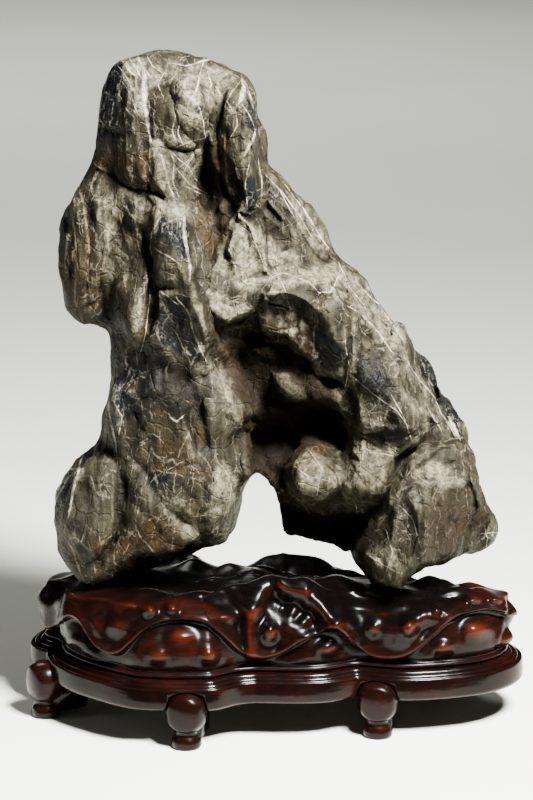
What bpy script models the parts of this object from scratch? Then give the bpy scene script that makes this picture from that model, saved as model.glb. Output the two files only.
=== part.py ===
"""A scholar's rock standing in a carved wooden stand on five ball feet.

Metres, +Z up, standing on the floor at z = 0. The stone's broad face looks
towards -Y, turned a little to +X. Sizes below are whole millimetres.
"""
import math

import bmesh
import bpy
import numpy as np
from mathutils import Matrix, Vector, noise

MM = 0.001

# Driving dimensions, mm
GAP = 0.4                    # clearance kept between pieces that touch
STONE_TURN = 9.0             # degrees, the stone's broad face turned about Z
STONE_PLACE = (0, 8)         # where the stone's own axis stands on the stand
STONE_GRAIN = 2.4            # size of the cells the stone is worked in
STONE_TRIANGLES = 4100
SLAB_THICKNESS = 12          # of the flat blank the stone is swelled from
EDGE_ROUNDING = 20           # how far in from its outline the stone is rounded
LUMP_SIZE = 22               # size of the stone's natural lumps
LUMP_HEIGHT = 2.6
LUMP_SEED = 3.7
SEAT_GAP = 0.64              # clearance between the stone and its seats in the stand
PLINTH_BOTTOM = 22
PLINTH_EDGE_TOP = 35
PLINTH_TOP = 38
PLINTH_STEP = 6              # spacing of points round the plinth
PLINTH_TRIANGLES = 560
BODY_BOTTOM = PLINTH_TOP + GAP
BODY_STEP = 3                # spacing of points round the body
BODY_CROWN = 1.5             # the body's top stands above its rim by this
BODY_TRIANGLES = 3300
FOOT_BALL_RADIUS = 12
FOOT_BALL_HEIGHT = 21        # height of the ball's middle above the floor
FOOT_FLAT_FROM = 8           # the ball's outward face is flattened beyond this
FOOT_FLATTENING = 0.55
FOOT_PAD = [(7.8, 0), (8.5, 1.4), (8.2, 3.6), (6.3, 6), (6.8, 8.6)]   # radius, height
FOOT_BLOCK = ((-24, -7.5, 3), (-1, 7.5, PLINTH_BOTTOM - GAP))
FOOT_SIDES = 12

# The stone's outline in its own upright plane: x to the right, z up, mm
STONE_OUTLINE = [
    (-93, 372), (-87, 380), (-78, 383), (-58, 383), (-45, 382), (-20, 374), (-14, 364),
    (-11, 345), (-7, 323), (-2, 315), (16, 296), (27, 280), (37, 262), (46, 256), (56, 241),
    (70, 227), (91, 198), (102, 176), (110, 164), (108, 159), (113, 144), (120, 128),
    (127, 113), (129, 105), (119, 95), (106, 93), (96, 89), (82, 86), (70, 77), (65, 73),
    (57, 77), (41, 87), (38, 97), (20, 101), (4, 105), (2, 121), (-2, 133), (-8, 142),
    (-14, 141), (-18, 127), (-21, 116), (-26, 104), (-34, 101), (-52, 93), (-75, 85),
    (-96, 77), (-110, 77), (-118, 85), (-126, 102), (-128, 122), (-123, 134), (-114, 148),
    (-102, 154), (-98, 170), (-93, 185), (-91, 212), (-94, 226), (-111, 227), (-115, 231),
    (-122, 249), (-122, 266), (-121, 289), (-113, 302), (-104, 318), (-98, 342), (-98, 358)]

# How far the stone stands out to the front at chosen places: x, z, depth
FRONT_DEPTHS = [
    (-85, 373, 22), (-61, 379, 16), (-33, 373, 24), (-72, 355, 32), (-47, 355, 38),
    (-19, 356, 36), (-90, 332, 24), (-61, 325, 36), (-35, 310, 16), (-18, 323, 38),
    (-112, 285, 18), (-100, 269, 26), (-111, 245, 16), (-81, 300, 22), (-78, 276, 26),
    (-57, 288, 44), (-57, 268, 44), (-70, 239, 40), (-47, 229, 45), (-87, 212, 24),
    (-27, 221, 22), (-64, 194, 44), (-35, 182, 43), (-82, 169, 34), (-23, 151, 34),
    (-48, 149, 46), (-104, 140, 38), (-119, 119, 26), (-99, 105, 36), (-70, 125, 44),
    (-42, 122, 36), (-34, 276, 30), (-20, 286, 34), (3, 281, 26), (14, 268, 30),
    (-20, 249, 36), (-20, 213, 4), (-9, 195, 0), (-14, 167, 6), (9, 166, 2), (7, 195, 12),
    (5, 234, 16), (31, 167, 0), (14, 253, 42), (33, 240, 44), (31, 200, 32), (42, 192, 36),
    (8, 305, 18), (26, 279, 16), (41, 255, 34), (61, 230, 24), (58, 205, 40), (81, 201, 22),
    (96, 176, 18), (70, 177, 44), (48, 176, 40), (22, 152, 44), (47, 148, 44),
    (10, 117, 18), (43, 109, 10), (93, 158, 34), (87, 137, 46), (67, 125, 44),
    (68, 100, 40), (107, 134, 36), (122, 109, 22), (55, 100, 24)]

# The same to the back
BACK_DEPTHS = [
    (-92, 362, 18), (-60, 372, 24), (-25, 366, 16), (-75, 338, 38), (-38, 332, 30),
    (-108, 270, 20), (-82, 292, 40), (-45, 288, 28), (-12, 290, 36), (-102, 246, 16),
    (-62, 248, 46), (-22, 242, 20), (18, 262, 38), (45, 240, 44), (-78, 200, 34),
    (-42, 192, 48), (-6, 190, 12), (28, 205, 42), (64, 208, 30), (92, 190, 22),
    (-112, 122, 28), (-86, 108, 44), (-52, 132, 34), (-88, 160, 26), (22, 150, 26),
    (50, 166, 48), (84, 162, 36), (108, 138, 28), (72, 114, 44), (104, 106, 24),
    (28, 112, 14), (-32, 118, 22)]

# Rounded masses that hang over or stand out: centre x, y, z, radii, lean in degrees
STONE_LOBES = [
    ("tusk", (-18, -25, 333), (9, 14, 36), -9),
    ("head boss", (-47, -25, 353), (9, 14, 20), -5),
    ("column cap", (-57, -29, 279), (10, 16, 22), 0),
    ("brow left", (5, -33, 252), (15, 12, 9), 0),
    ("brow right", (27, -34, 245), (14, 14, 10), 35),
    ("brow end", (37, -33, 228), (9, 13, 18), 0),
    ("snout", (22, -27, 148), (15, 18, 16), 0),
    ("left boulder", (-101, -3, 118), (25, 36, 34), 0),
    ("right leg", (70, -20, 108), (22, 26, 30), 20),
    ("right knee", (92, -16, 138), (24, 28, 22), 25),
    ("back hump", (-58, 24, 250), (20, 26, 34), 0),
    ("back shoulder", (34, 20, 228), (22, 26, 26), 30),
    ("back knee", (62, 22, 140), (22, 26, 30), 10)]

# Grooves (depth above 0) and ridges (below 0): width, depth, side, places x, z
FRONT, BACK = -1, 1
STONE_STROKES = [
    ("head ledge", 6, 7, FRONT, [(-101, 322), (-87, 315), (-75, 309), (-57, 297)]),
    ("head groove", 7, 9, FRONT, [(-38, 343), (-37, 324), (-33, 304), (-31, 285)]),
    ("tusk edge", 4, 5, FRONT, [(-26, 368), (-28, 344), (-27, 319), (-23, 301)]),
    ("shoulder gap", 5, 6, FRONT, [(-86, 296), (-91, 274), (-95, 252), (-91, 233)]),
    ("column side", 4, 5, FRONT, [(-74, 298), (-74, 271), (-70, 245), (-75, 214)]),
    ("boulder crease", 6, 6, FRONT, [(-96, 166), (-87, 152), (-86, 131), (-92, 111)]),
    ("slab lip", 5, 8, FRONT, [(-39, 253), (-35, 242), (-27, 231), (-11, 237), (-4, 247)]),
    ("brow pocket", 8, 12, FRONT, [(-3, 233), (5, 237), (15, 236)]),
    ("under the brow", 6, 8, FRONT, [(14, 222), (24, 210), (36, 206)]),
    ("flank groove", 6, 7, FRONT, [(-2, 291), (8, 274), (23, 265)]),
    ("cheek groove", 5, 5, FRONT, [(39, 257), (43, 234), (41, 211)]),
    ("cheek pocket", 7, 6, FRONT, [(51, 229), (55, 217)]),
    ("leg crease", 6, 12, FRONT, [(107, 172), (92, 171), (73, 159), (63, 136), (55, 126)]),
    ("snout top", 5, 7, FRONT, [(14, 162), (24, 166), (34, 162)]),
    ("snout side", 5, 5, FRONT, [(37, 161), (40, 147), (35, 132)]),
    ("deep hole", 9, 14, FRONT, [(25, 178), (34, 166)]),
    ("column ridge", 9, -5, FRONT, [(-47, 255), (-34, 210), (-23, 186), (-20, 148)]),
    ("leg ridge", 7, -5, FRONT, [(82, 129), (83, 112), (78, 97), (69, 87)]),
    ("cheek ridge", 12, -4, FRONT, [(43, 249), (61, 224), (71, 195), (65, 169)]),
    ("back head groove", 7, 8, BACK, [(-52, 362), (-48, 330), (-54, 300)]),
    ("back shoulder gap", 7, 9, BACK, [(-92, 305), (-90, 270), (-84, 238), (-88, 215)]),
    ("back long groove", 7, 9, BACK, [(-22, 320), (-24, 280), (-16, 250), (-20, 215)]),
    ("back pocket", 10, 12, BACK, [(-4, 225), (6, 212)]),
    ("back flank groove", 7, 8, BACK, [(44, 252), (52, 226), (66, 190), (60, 165)]),
    ("back leg crease", 7, 9, BACK, [(112, 158), (92, 138), (84, 110), (90, 96)]),
    ("back boulder crease", 7, 8, BACK, [(-98, 160), (-72, 142), (-66, 112)]),
    ("back ridge", 8, -5, BACK, [(-70, 235), (-60, 195), (-50, 150), (-56, 110)])]

# The stand's outline seen from above, lobe by lobe from cusp to cusp, x, y
STAND_LOBES = [
    [(-126, 34), (-137, 29), (-143, 14), (-144, -3), (-139, -13), (-130, -20)],
    [(-130, -20), (-127, -31), (-121, -42), (-108, -55), (-92, -66), (-78, -74), (-66, -78),
     (-52, -78), (-37, -76), (-21, -72), (-9, -61), (-1, -57)],
    [(-1, -57), (24, -54), (40, -49), (55, -39)],
    [(55, -39), (79, -40), (101, -34), (123, -23), (137, -9), (144, 8), (142, 26), (130, 42),
     (108, 54), (86, 58), (68, 55), (58, 50)],
    [(58, 50), (42, 68), (18, 78), (-8, 79), (-26, 74), (-36, 64)],
    [(-36, 64), (-58, 72), (-84, 70), (-108, 58), (-121, 44), (-126, 34)]]

# Plinth section from its underside up and in: inset from the outline, height
PLINTH_SECTION = [
    (3.5, PLINTH_BOTTOM), (0.6, 23), (0, 26), (0, 33.8), (1.4, PLINTH_EDGE_TOP), (3.2, 35.2),
    (4.4, 36.8), (5.6, 36), (7.2, 37.6), (8.6, PLINTH_TOP)]

# Body wall section: inset from the outline by height
BODY_FOOT_SECTION = [(10.6, BODY_BOTTOM), (9.4, 39.2), (9.2, 40.6), (10.4, 41.6)]
BODY_WALL = [(42, 10.2), (46, 8.6), (54, 7.2), (60, 7.4), (66, 9), (72, 12.5), (76, 17)]
WAVE_STEP = 1.4              # the upper layer stands out and the lower in by this
WAVE_LIP = 1.2               # extra roll along the upper layer's wavy lower edge
# Height of the wavy edge and of the rim by direction in degrees
WAVE_EDGE = [
    (5, 60), (20, 46), (45, 64), (68, 45), (90, 68), (112, 46), (135, 66), (155, 46),
    (172, 62), (187, 48), (200, 62), (216, 47), (238, 73), (266, 45), (310, 61), (324, 60),
    (335, 44), (353, 66)]
BODY_RIM = [
    (0, 70), (12, 68), (30, 70), (60, 74), (90, 76), (120, 75), (150, 72), (180, 68),
    (200, 70), (225, 73), (245, 75), (275, 76), (300, 76), (322, 72), (340, 70)]

# Carved knobs on the body's wall: x, y, z, half width, half height, proud
WALL_KNOBS = [
    (-40, -70, 64, 10, 5, 4), (-55, -72, 52, 7, 5, 4), (-26, -68, 52, 7, 5, 4),
    (36, -45, 54, 7, 5, 3.5), (101, -28, 51, 7, 5, 4), (117, -20, 60, 9, 6, 4.5),
    (136, 8, 47, 6, 6, 4), (-110, -44, 50, 8, 5, 3), (-80, -66, 62, 10, 7, 4),
    (-59, -70, 72, 7, 6, 4), (-32, -68, 73, 12, 5, 4), (4, -51, 61, 8, 8, 5),
    (16, -48, 73, 7, 5, 4), (27, -46, 68, 7, 5, 4), (44, -38, 68, 6, 10, 5),
    (62, -33, 61, 7, 5, 3.5), (80, -32, 65, 9, 8, 5), (104, -25, 69, 8, 6, 4),
    (-132, 0, 60, 7, 6, 4), (-130, 20, 56, 7, 6, 4), (122, 40, 56, 8, 6, 4),
    (92, 50, 60, 9, 6, 4), (40, 60, 58, 8, 6, 4), (8, 70, 62, 10, 6, 4.5),
    (-20, 68, 53, 7, 5, 3.5), (-58, 64, 60, 9, 6, 4), (-86, 60, 64, 8, 6, 4),
    (-108, 46, 54, 7, 5, 3.5)]

# Mounds and dishes of the body's top: x, y, height, radius along x, along y
TOP_FORMS = [
    ("middle mound", 4, 14, 11, 30, 30),
    ("left seat", -88, 6, 8, 22, 22),
    ("left knob", -52, 30, 7, 9, 12),
    ("small knob", -30, 22, 6, 8, 10),
    ("right seat", 68, -2, 4, 22, 18),
    ("right knob", 98, 14, 7, 12, 16),
    ("far right knob", 117, 6, 3, 9, 12)]

# Feet: node name, x, y, outward direction in degrees
FEET = [
    ("foot_left_end", -128, -32, 221),
    ("foot_front_left", -38, -71, 266),
    ("foot_front_right", 66, -36, 271),
    ("foot_back_right", 95, 51, 75),
    ("foot_back_left", -62, 66, 96)]

STONE_COLOUR = (0.085, 0.078, 0.068)
WOOD_COLOUR = (0.095, 0.014, 0.008)
DARK_WOOD_COLOUR = (0.055, 0.009, 0.006)


def clear_scene():
    for obj in list(bpy.data.objects):
        bpy.data.objects.remove(obj, do_unlink=True)


def material(name, colour, roughness):
    made = bpy.data.materials.new(name)
    made.use_nodes = True
    shader = made.node_tree.nodes["Principled BSDF"]
    shader.inputs["Base Color"].default_value = (*colour, 1)
    shader.inputs["Roughness"].default_value = roughness
    shader.inputs["Metallic"].default_value = 0
    return made


def add_mesh(name, verts_mm, faces):
    """A new object from points in millimetres."""
    mesh = bpy.data.meshes.new(name)
    mesh.from_pydata([tuple(MM * c for c in v) for v in verts_mm], [], faces)
    mesh.update()
    obj = bpy.data.objects.new(name, mesh)
    bpy.context.collection.objects.link(obj)
    return obj


def bake(obj):
    """Make the modifiers' result the object's own mesh."""
    depsgraph = bpy.context.evaluated_depsgraph_get()
    done = bpy.data.meshes.new_from_object(obj.evaluated_get(depsgraph))
    obj.modifiers.clear()
    obj.data = done


def remesh(obj, cell):
    mod = obj.modifiers.new("Remesh", "REMESH")
    mod.mode = "VOXEL"
    mod.voxel_size = cell * MM
    bake(obj)


def relax(obj, strength, rounds):
    mod = obj.modifiers.new("Smooth", "SMOOTH")
    mod.factor = strength
    mod.iterations = rounds
    bake(obj)


def thin_to(obj, triangles):
    """Collapse edges until about this many triangles are left."""
    obj.data.calc_loop_triangles()
    mod = obj.modifiers.new("Decimate", "DECIMATE")
    mod.ratio = min(1.0, triangles / len(obj.data.loop_triangles))
    bake(obj)


def combine(obj, other, operation):
    mod = obj.modifiers.new(operation.title(), "BOOLEAN")
    mod.operation = operation
    mod.solver = "EXACT"
    mod.object = other
    bake(obj)


def drop(obj):
    bpy.data.objects.remove(obj, do_unlink=True)


def finish(obj, look, sharp_angle):
    obj.data.materials.clear()
    obj.data.materials.append(look)
    obj.data.shade_smooth()
    obj.data.set_sharp_from_angle(angle=math.radians(sharp_angle))


def points_of(obj):
    """The mesh's points in millimetres, as an array."""
    flat = np.empty(len(obj.data.vertices) * 3)
    obj.data.vertices.foreach_get("co", flat)
    return flat.reshape(-1, 3) / MM


def move_points(obj, points_mm):
    obj.data.vertices.foreach_set("co", (points_mm * MM).ravel())
    obj.data.update()


def normals_of(obj):
    flat = np.empty(len(obj.data.vertices) * 3)
    obj.data.vertex_normals.foreach_get("vector", flat)
    return flat.reshape(-1, 3)


def spline(points, steps, closed=False):
    """Points along a Catmull-Rom curve through the given ones."""
    pts = np.array(points, float)
    if closed:
        pts = np.vstack([pts[-1], pts, pts[0], pts[1]])
    else:
        pts = np.vstack([2 * pts[0] - pts[1], pts, 2 * pts[-1] - pts[-2]])
    curve = []
    for a, b, c, d in zip(pts, pts[1:], pts[2:], pts[3:]):
        for t in np.arange(steps) / steps:
            bend = (2 * a - 5 * b + 4 * c - d) * t ** 2 + (3 * b - a - 3 * c + d) * t ** 3
            curve.append(0.5 * (2 * b + (c - a) * t + bend))
    if not closed:
        curve.append(pts[-2])
    return np.array(curve)


def distance_to_line(points, line):
    """Distance from each 2-D point to a polyline."""
    nearest = np.full(len(points), np.inf)
    for a, b in zip(line[:-1], line[1:]):
        along = b - a
        t = np.clip(((points - a) @ along) / (along @ along), 0, 1)
        gap = points - a - t[:, None] * along
        nearest = np.minimum(nearest, np.hypot(gap[:, 0], gap[:, 1]))
    return nearest


def blend(places, values, points, softness=7.0):
    """The values at chosen places, spread over all points, the nearest weighing most."""
    total = np.zeros(len(points))
    weight = np.zeros(len(points))
    for place, value in zip(places, values):
        near = ((points - place) ** 2).sum(axis=1) + softness ** 2
        total += value / near ** 2
        weight += 1 / near ** 2
    return total / weight


def swell(obj, outline):
    """Give a flat slab its depth, falling away to a rounded edge at the outline."""
    pts = points_of(obj)
    flat = pts[:, [0, 2]]
    inner = distance_to_line(flat, np.vstack([outline, outline[:1]]))
    t = np.clip((inner + 1.0) / EDGE_ROUNDING, 0, 1)
    rounding = np.sqrt(1 - (1 - t) ** 2)
    front = np.array(FRONT_DEPTHS, float)
    back = np.array(BACK_DEPTHS, float)
    ahead = blend(front[:, :2], front[:, 2], flat)
    behind = blend(back[:, :2], back[:, 2], flat)
    half = np.clip(pts[:, 1] / np.abs(pts[:, 1]).max(), -1, 1)
    depth = np.where(half < 0, ahead, behind)
    pts[:, 1] = half * depth * rounding
    move_points(obj, pts)


def add_lobe(name, centre, radii, lean):
    mesh = bmesh.new()
    bmesh.ops.create_icosphere(mesh, subdivisions=4, radius=1)
    size = Matrix.Diagonal((*[r * MM for r in radii], 1))
    place = Matrix.Translation(Vector(centre) * MM)
    turn = Matrix.Rotation(math.radians(lean), 4, "Y")
    mesh.transform(place @ turn @ size)
    data = bpy.data.meshes.new(name)
    mesh.to_mesh(data)
    mesh.free()
    obj = bpy.data.objects.new(name, data)
    bpy.context.collection.objects.link(obj)
    return obj


def join_into(obj, others):
    """Gather the meshes of several objects in one, as loose shells."""
    mesh = bmesh.new()
    for one in [obj] + others:
        mesh.from_mesh(one.data)
    mesh.to_mesh(obj.data)
    mesh.free()
    for one in others:
        drop(one)


def work_strokes(obj):
    """Press the grooves in and draw the ridges out, on the side each belongs to."""
    pts = points_of(obj)
    facing = normals_of(obj)[:, 1]
    for _, width, depth, side, line in STONE_STROKES:
        away = distance_to_line(pts[:, [0, 2]], spline(line, 6))
        fall = np.exp(-(away / width) ** 2)
        sided = np.clip(facing * side * 2 + 0.4, 0, 1)
        pts[:, 1] -= side * depth * fall * sided
    move_points(obj, pts)


def weather(obj, size, height, seed):
    """Uneven natural surface: shallow seeded noise along the normals."""
    pts = points_of(obj)
    out = normals_of(obj)
    for i, p in enumerate(pts):
        spot = Vector((p[0] / size + seed, p[1] / size, p[2] / size))
        lump = noise.fractal(spot, 1.0, 2.0, 3)
        pts[i] = p + out[i] * height * lump
    move_points(obj, pts)


def make_rock(look):
    outline = spline(STONE_OUTLINE, 3, closed=True)
    count = len(outline)
    half = SLAB_THICKNESS / 2
    verts = [(x, -half, z) for x, z in outline] + [(x, half, z) for x, z in outline]
    faces = [tuple(range(count)), tuple(range(2 * count - 1, count - 1, -1))]
    faces += [(i, i + count, (i + 1) % count + count, (i + 1) % count) for i in range(count)]
    rock = add_mesh("rock", verts, faces)
    remesh(rock, STONE_GRAIN)
    swell(rock, outline)
    join_into(rock, [add_lobe(*lobe) for lobe in STONE_LOBES])
    remesh(rock, STONE_GRAIN)
    relax(rock, 0.5, 3)
    work_strokes(rock)
    remesh(rock, STONE_GRAIN)
    weather(rock, LUMP_SIZE, LUMP_HEIGHT, LUMP_SEED)
    relax(rock, 0.5, 1)
    thin_to(rock, STONE_TRIANGLES)
    finish(rock, look, 35)
    rock.location = (STONE_PLACE[0] * MM, STONE_PLACE[1] * MM, 0)
    rock.rotation_euler = (0, 0, math.radians(STONE_TURN))
    return rock


def stand_outline(step):
    """The stand's outline as evenly spaced points, and its outward directions."""
    dense = np.vstack([spline(lobe, 12)[:-1] for lobe in STAND_LOBES])
    loop = np.vstack([dense, dense[:1]])
    run = np.concatenate([[0], np.cumsum(np.hypot(*np.diff(loop, axis=0).T))])
    at = np.linspace(0, run[-1], int(run[-1] / step), endpoint=False)
    pts = np.column_stack([np.interp(at, run, loop[:, k]) for k in (0, 1)])
    along = np.roll(pts, -1, axis=0) - np.roll(pts, 1, axis=0)
    out = np.column_stack([along[:, 1], -along[:, 0]])
    return pts, out / np.hypot(*out.T)[:, None]


def rings_to_mesh(name, rings):
    """Close a stack of equal rings, from the bottom up, with a cap at each end."""
    count = len(rings[0])
    verts = [tuple(p) for ring in rings for p in ring]
    faces = []
    for k in range(len(rings) - 1):
        low = k * count
        for i in range(count):
            j = (i + 1) % count
            faces.append((low + i, low + j, low + count + j, low + count + i))
    faces.append(tuple(range(count - 1, -1, -1)))
    faces.append(tuple(range((len(rings) - 1) * count, len(rings) * count)))
    return add_mesh(name, verts, faces)


def make_plinth(look, feet_cutters):
    pts, out = stand_outline(PLINTH_STEP)
    rings = []
    for inset, height in PLINTH_SECTION:
        ring = pts - out * inset
        rings.append(np.column_stack([ring, np.full(len(ring), height)]))
    plinth = rings_to_mesh("stand_plinth", rings)
    thin_to(plinth, PLINTH_TRIANGLES)
    for cutter in feet_cutters:
        combine(plinth, cutter, "DIFFERENCE")
        drop(cutter)
    finish(plinth, look, 40)
    return plinth


def around(table, angles):
    """Read a table of (degrees, value) at any angle, easing from entry to entry."""
    keys = np.array(table, float)
    keys = np.vstack([keys[-1] - (360, 0), keys, keys[0] + (360, 0)])
    k = np.clip(np.searchsorted(keys[:, 0], angles) - 1, 0, len(keys) - 2)
    t = (angles - keys[k, 0]) / (keys[k + 1, 0] - keys[k, 0])
    ease = t * t * (3 - 2 * t)
    return keys[k, 1] + (keys[k + 1, 1] - keys[k, 1]) * ease


def top_height(x, y, rim):
    """Height of the body's carved top at each place."""
    z = np.array(rim, float) + BODY_CROWN
    for _, cx, cy, height, rx, ry in TOP_FORMS:
        z += height * np.exp(-((x - cx) / rx) ** 2 - ((y - cy) / ry) ** 2)
    return z


def push_knobs(ring, out):
    """Raise the carved knobs out of the wall."""
    for x, y, z, half_width, half_height, proud in WALL_KNOBS:
        sideways = np.hypot(ring[:, 0] - x, ring[:, 1] - y) / half_width
        upright = (ring[:, 2] - z) / half_height
        dome = np.clip(1 - sideways ** 2 - upright ** 2, 0, 1)
        ring[:, :2] += out * (proud * np.sqrt(dome))[:, None]
    return ring


def body_wall_rings(pts, out, wave, rim):
    """Rings up the wall: the recessed lower layer, then the proud upper one."""
    heights = np.array(BODY_WALL, float)
    rings = []
    for inset, z in BODY_FOOT_SECTION:
        rings.append(np.column_stack([pts - out * inset, np.full(len(pts), z)]))
    for t in np.linspace(0, 1, 9):
        z = 42 + (wave - 0.5 - 42) * t
        inset = np.interp(z, heights[:, 0], heights[:, 1]) + WAVE_STEP * (0.3 + 0.7 * t)
        rings.append(push_knobs(np.column_stack([pts - out * inset[:, None], z]), out))
    for t in np.linspace(0, 1, 10):
        z = wave + 0.5 + (rim - wave - 0.5) * t
        lip = WAVE_LIP * np.exp(-((z - wave - 2) / 2.5) ** 2)
        inset = np.interp(z, heights[:, 0], heights[:, 1]) - WAVE_STEP - lip
        rings.append(push_knobs(np.column_stack([pts - out * inset[:, None], z]), out))
    return rings


def make_body(look, rock):
    pts, out = stand_outline(BODY_STEP)
    angles = np.degrees(np.arctan2(pts[:, 1], pts[:, 0])) % 360
    wave = around(WAVE_EDGE, angles)
    rim = around(BODY_RIM, angles)
    rings = body_wall_rings(pts, out, wave, rim)
    edge = rings[-1][:, :2]
    for t in (0.02, 0.05, 0.1, 0.18, 0.28, 0.4, 0.52, 0.64, 0.76, 0.88, 0.97):
        flat = edge * (1 - t)
        settle = np.clip(t / 0.12, 0, 1)
        z = rim + (top_height(flat[:, 0], flat[:, 1], rim) - rim) * settle
        level = np.mean(z)
        z = z + (level - z) * t ** 6
        rings.append(np.column_stack([flat, z]))
    body = rings_to_mesh("stand_body", rings)
    thin_to(body, BODY_TRIANGLES)
    faces = [tuple(p.vertices) for p in rock.data.polygons]
    seat = add_mesh("seat_cutter", points_of(rock), faces)
    move_points(seat, points_of(seat) + normals_of(seat) * SEAT_GAP)
    seat.matrix_world = rock.matrix_world
    combine(body, seat, "DIFFERENCE")
    drop(seat)
    finish(body, look, 50)
    return body


def foot_section(grow):
    """Half section of pad, waist and ball from the floor up: radius, height."""
    ball = []
    for degrees in range(-54, 67, 24):
        a = math.radians(degrees)
        rise = math.copysign(abs(math.sin(a)) ** 0.9, a)
        ball.append((FOOT_BALL_RADIUS * math.cos(a) ** 0.8,
                     FOOT_BALL_HEIGHT + FOOT_BALL_RADIUS * rise))
    return [(r + grow, z + (grow if z > FOOT_BALL_HEIGHT else 0)) for r, z in FOOT_PAD + ball]


def turn_foot(name, grow):
    """Pad, waist and ball turned about the upright axis, the outward face flattened."""
    rings = []
    for radius, height in foot_section(grow):
        ring = []
        for k in range(FOOT_SIDES):
            a = math.tau * k / FOOT_SIDES
            x, y = radius * math.cos(a), radius * math.sin(a)
            over = max(0, x - FOOT_FLAT_FROM - grow)
            ring.append((x - FOOT_FLATTENING * over, y, height))
        rings.append(ring)
    return rings_to_mesh(name, rings)


def add_block(name, low, high):
    """A box between two corners, its edges rounded."""
    mesh = bmesh.new()
    bmesh.ops.create_cube(mesh, size=1)
    middle = [(a + b) / 2 * MM for a, b in zip(low, high)]
    size = [(b - a) * MM for a, b in zip(low, high)]
    mesh.transform(Matrix.Translation(middle) @ Matrix.Diagonal((*size, 1)))
    bmesh.ops.bevel(mesh, geom=mesh.edges[:], offset=1.2 * MM, segments=1, affect="EDGES")
    data = bpy.data.meshes.new(name)
    mesh.to_mesh(data)
    mesh.free()
    obj = bpy.data.objects.new(name, data)
    bpy.context.collection.objects.link(obj)
    return obj


def make_foot(name, x, y, outward, look):
    """A ball foot with the block behind it that carries the plinth."""
    foot = turn_foot(name, 0)
    block = add_block("block", *FOOT_BLOCK)
    combine(foot, block, "UNION")
    drop(block)
    place(foot, x, y, outward)
    finish(foot, look, 40)
    return foot


def place(obj, x, y, outward):
    obj.matrix_world = (Matrix.Translation((x * MM, y * MM, 0))
                        @ Matrix.Rotation(math.radians(outward), 4, "Z"))


def main():
    clear_scene()
    stone = material("stone", STONE_COLOUR, 0.55)
    wood = material("carved_wood", WOOD_COLOUR, 0.2)
    plinth_wood = material("plinth_wood", DARK_WOOD_COLOUR, 0.22)
    foot_wood = material("foot_wood", DARK_WOOD_COLOUR, 0.2)
    rock = make_rock(stone)
    bpy.context.view_layer.update()
    make_body(wood, rock)
    cutters = []
    for name, x, y, outward in FEET:
        make_foot(name, x, y, outward, foot_wood)
        cutter = turn_foot("cutter", GAP)
        place(cutter, x, y, outward)
        cutters.append(cutter)
    bpy.context.view_layer.update()
    make_plinth(plinth_wood, cutters)


main()
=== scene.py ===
"""Looks of a scholar's rock on its carved wooden stand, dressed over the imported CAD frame.

Places on the stone and the carving are named by photograph pixels (533 x 800) and carried onto
the surface by the camera's own projection; sizes are millimetres unless a name says otherwise.
"""
import math

import bmesh
import bpy
import numpy as np
from mathutils import Matrix, Vector, noise
from mathutils.bvhtree import BVHTree


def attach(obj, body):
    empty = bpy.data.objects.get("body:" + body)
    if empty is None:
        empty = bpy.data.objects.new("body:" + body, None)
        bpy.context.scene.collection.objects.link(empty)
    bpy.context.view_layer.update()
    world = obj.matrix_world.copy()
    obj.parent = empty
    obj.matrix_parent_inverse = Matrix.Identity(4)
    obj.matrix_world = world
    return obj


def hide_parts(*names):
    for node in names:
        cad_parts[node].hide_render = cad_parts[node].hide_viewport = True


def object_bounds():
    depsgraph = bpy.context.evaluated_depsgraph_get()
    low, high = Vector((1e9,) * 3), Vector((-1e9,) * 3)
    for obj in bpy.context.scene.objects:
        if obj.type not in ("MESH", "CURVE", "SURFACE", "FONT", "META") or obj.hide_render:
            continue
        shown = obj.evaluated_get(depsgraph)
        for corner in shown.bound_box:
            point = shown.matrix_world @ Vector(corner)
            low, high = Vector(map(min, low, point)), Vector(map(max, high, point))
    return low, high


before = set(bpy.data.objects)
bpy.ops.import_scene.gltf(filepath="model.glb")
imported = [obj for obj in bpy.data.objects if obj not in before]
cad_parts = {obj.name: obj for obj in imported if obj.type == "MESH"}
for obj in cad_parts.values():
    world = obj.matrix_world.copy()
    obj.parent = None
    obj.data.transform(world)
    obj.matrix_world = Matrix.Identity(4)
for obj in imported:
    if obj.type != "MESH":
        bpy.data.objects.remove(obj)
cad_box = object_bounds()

MM = 0.001

# ---------------------------------------------------------------- camera
PHOTO_SIZE = (533, 800)
VIEW_AZIMUTH = math.radians(9)
VIEW_ELEVATION = math.radians(14)
VIEW_DISTANCE = 1800
VIEW_AIM = np.array([-5.0, 8.0, 183.0])
PIXELS_PER_MM = 1.75
SENSOR = 36
CLIP_START = 0.05

BACK = np.array([math.sin(VIEW_AZIMUTH) * math.cos(VIEW_ELEVATION),
                 -math.cos(VIEW_AZIMUTH) * math.cos(VIEW_ELEVATION),
                 math.sin(VIEW_ELEVATION)])
RIGHT = np.array([math.cos(VIEW_AZIMUTH), math.sin(VIEW_AZIMUTH), 0.0])
UP = np.cross(BACK, RIGHT)
EYE = VIEW_AIM + BACK * VIEW_DISTANCE
FOCAL = PIXELS_PER_MM * VIEW_DISTANCE


def to_pixels(points):
    """Photograph pixels of points in millimetres."""
    away = points - EYE
    depth = -(away @ BACK)
    across = PHOTO_SIZE[0] / 2 + FOCAL * (away @ RIGHT) / depth
    down = PHOTO_SIZE[1] / 2 - FOCAL * (away @ UP) / depth
    return np.column_stack([across, down])


def sight_lines(points):
    """Unit directions from the points towards the camera."""
    lines = EYE - points
    return lines / np.linalg.norm(lines, axis=1)[:, None]


def facing_eye(obj, sight):
    """How squarely each point of a surface looks at the camera, -1 to 1."""
    return (normals_of(obj) * sight).sum(axis=1)


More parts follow.
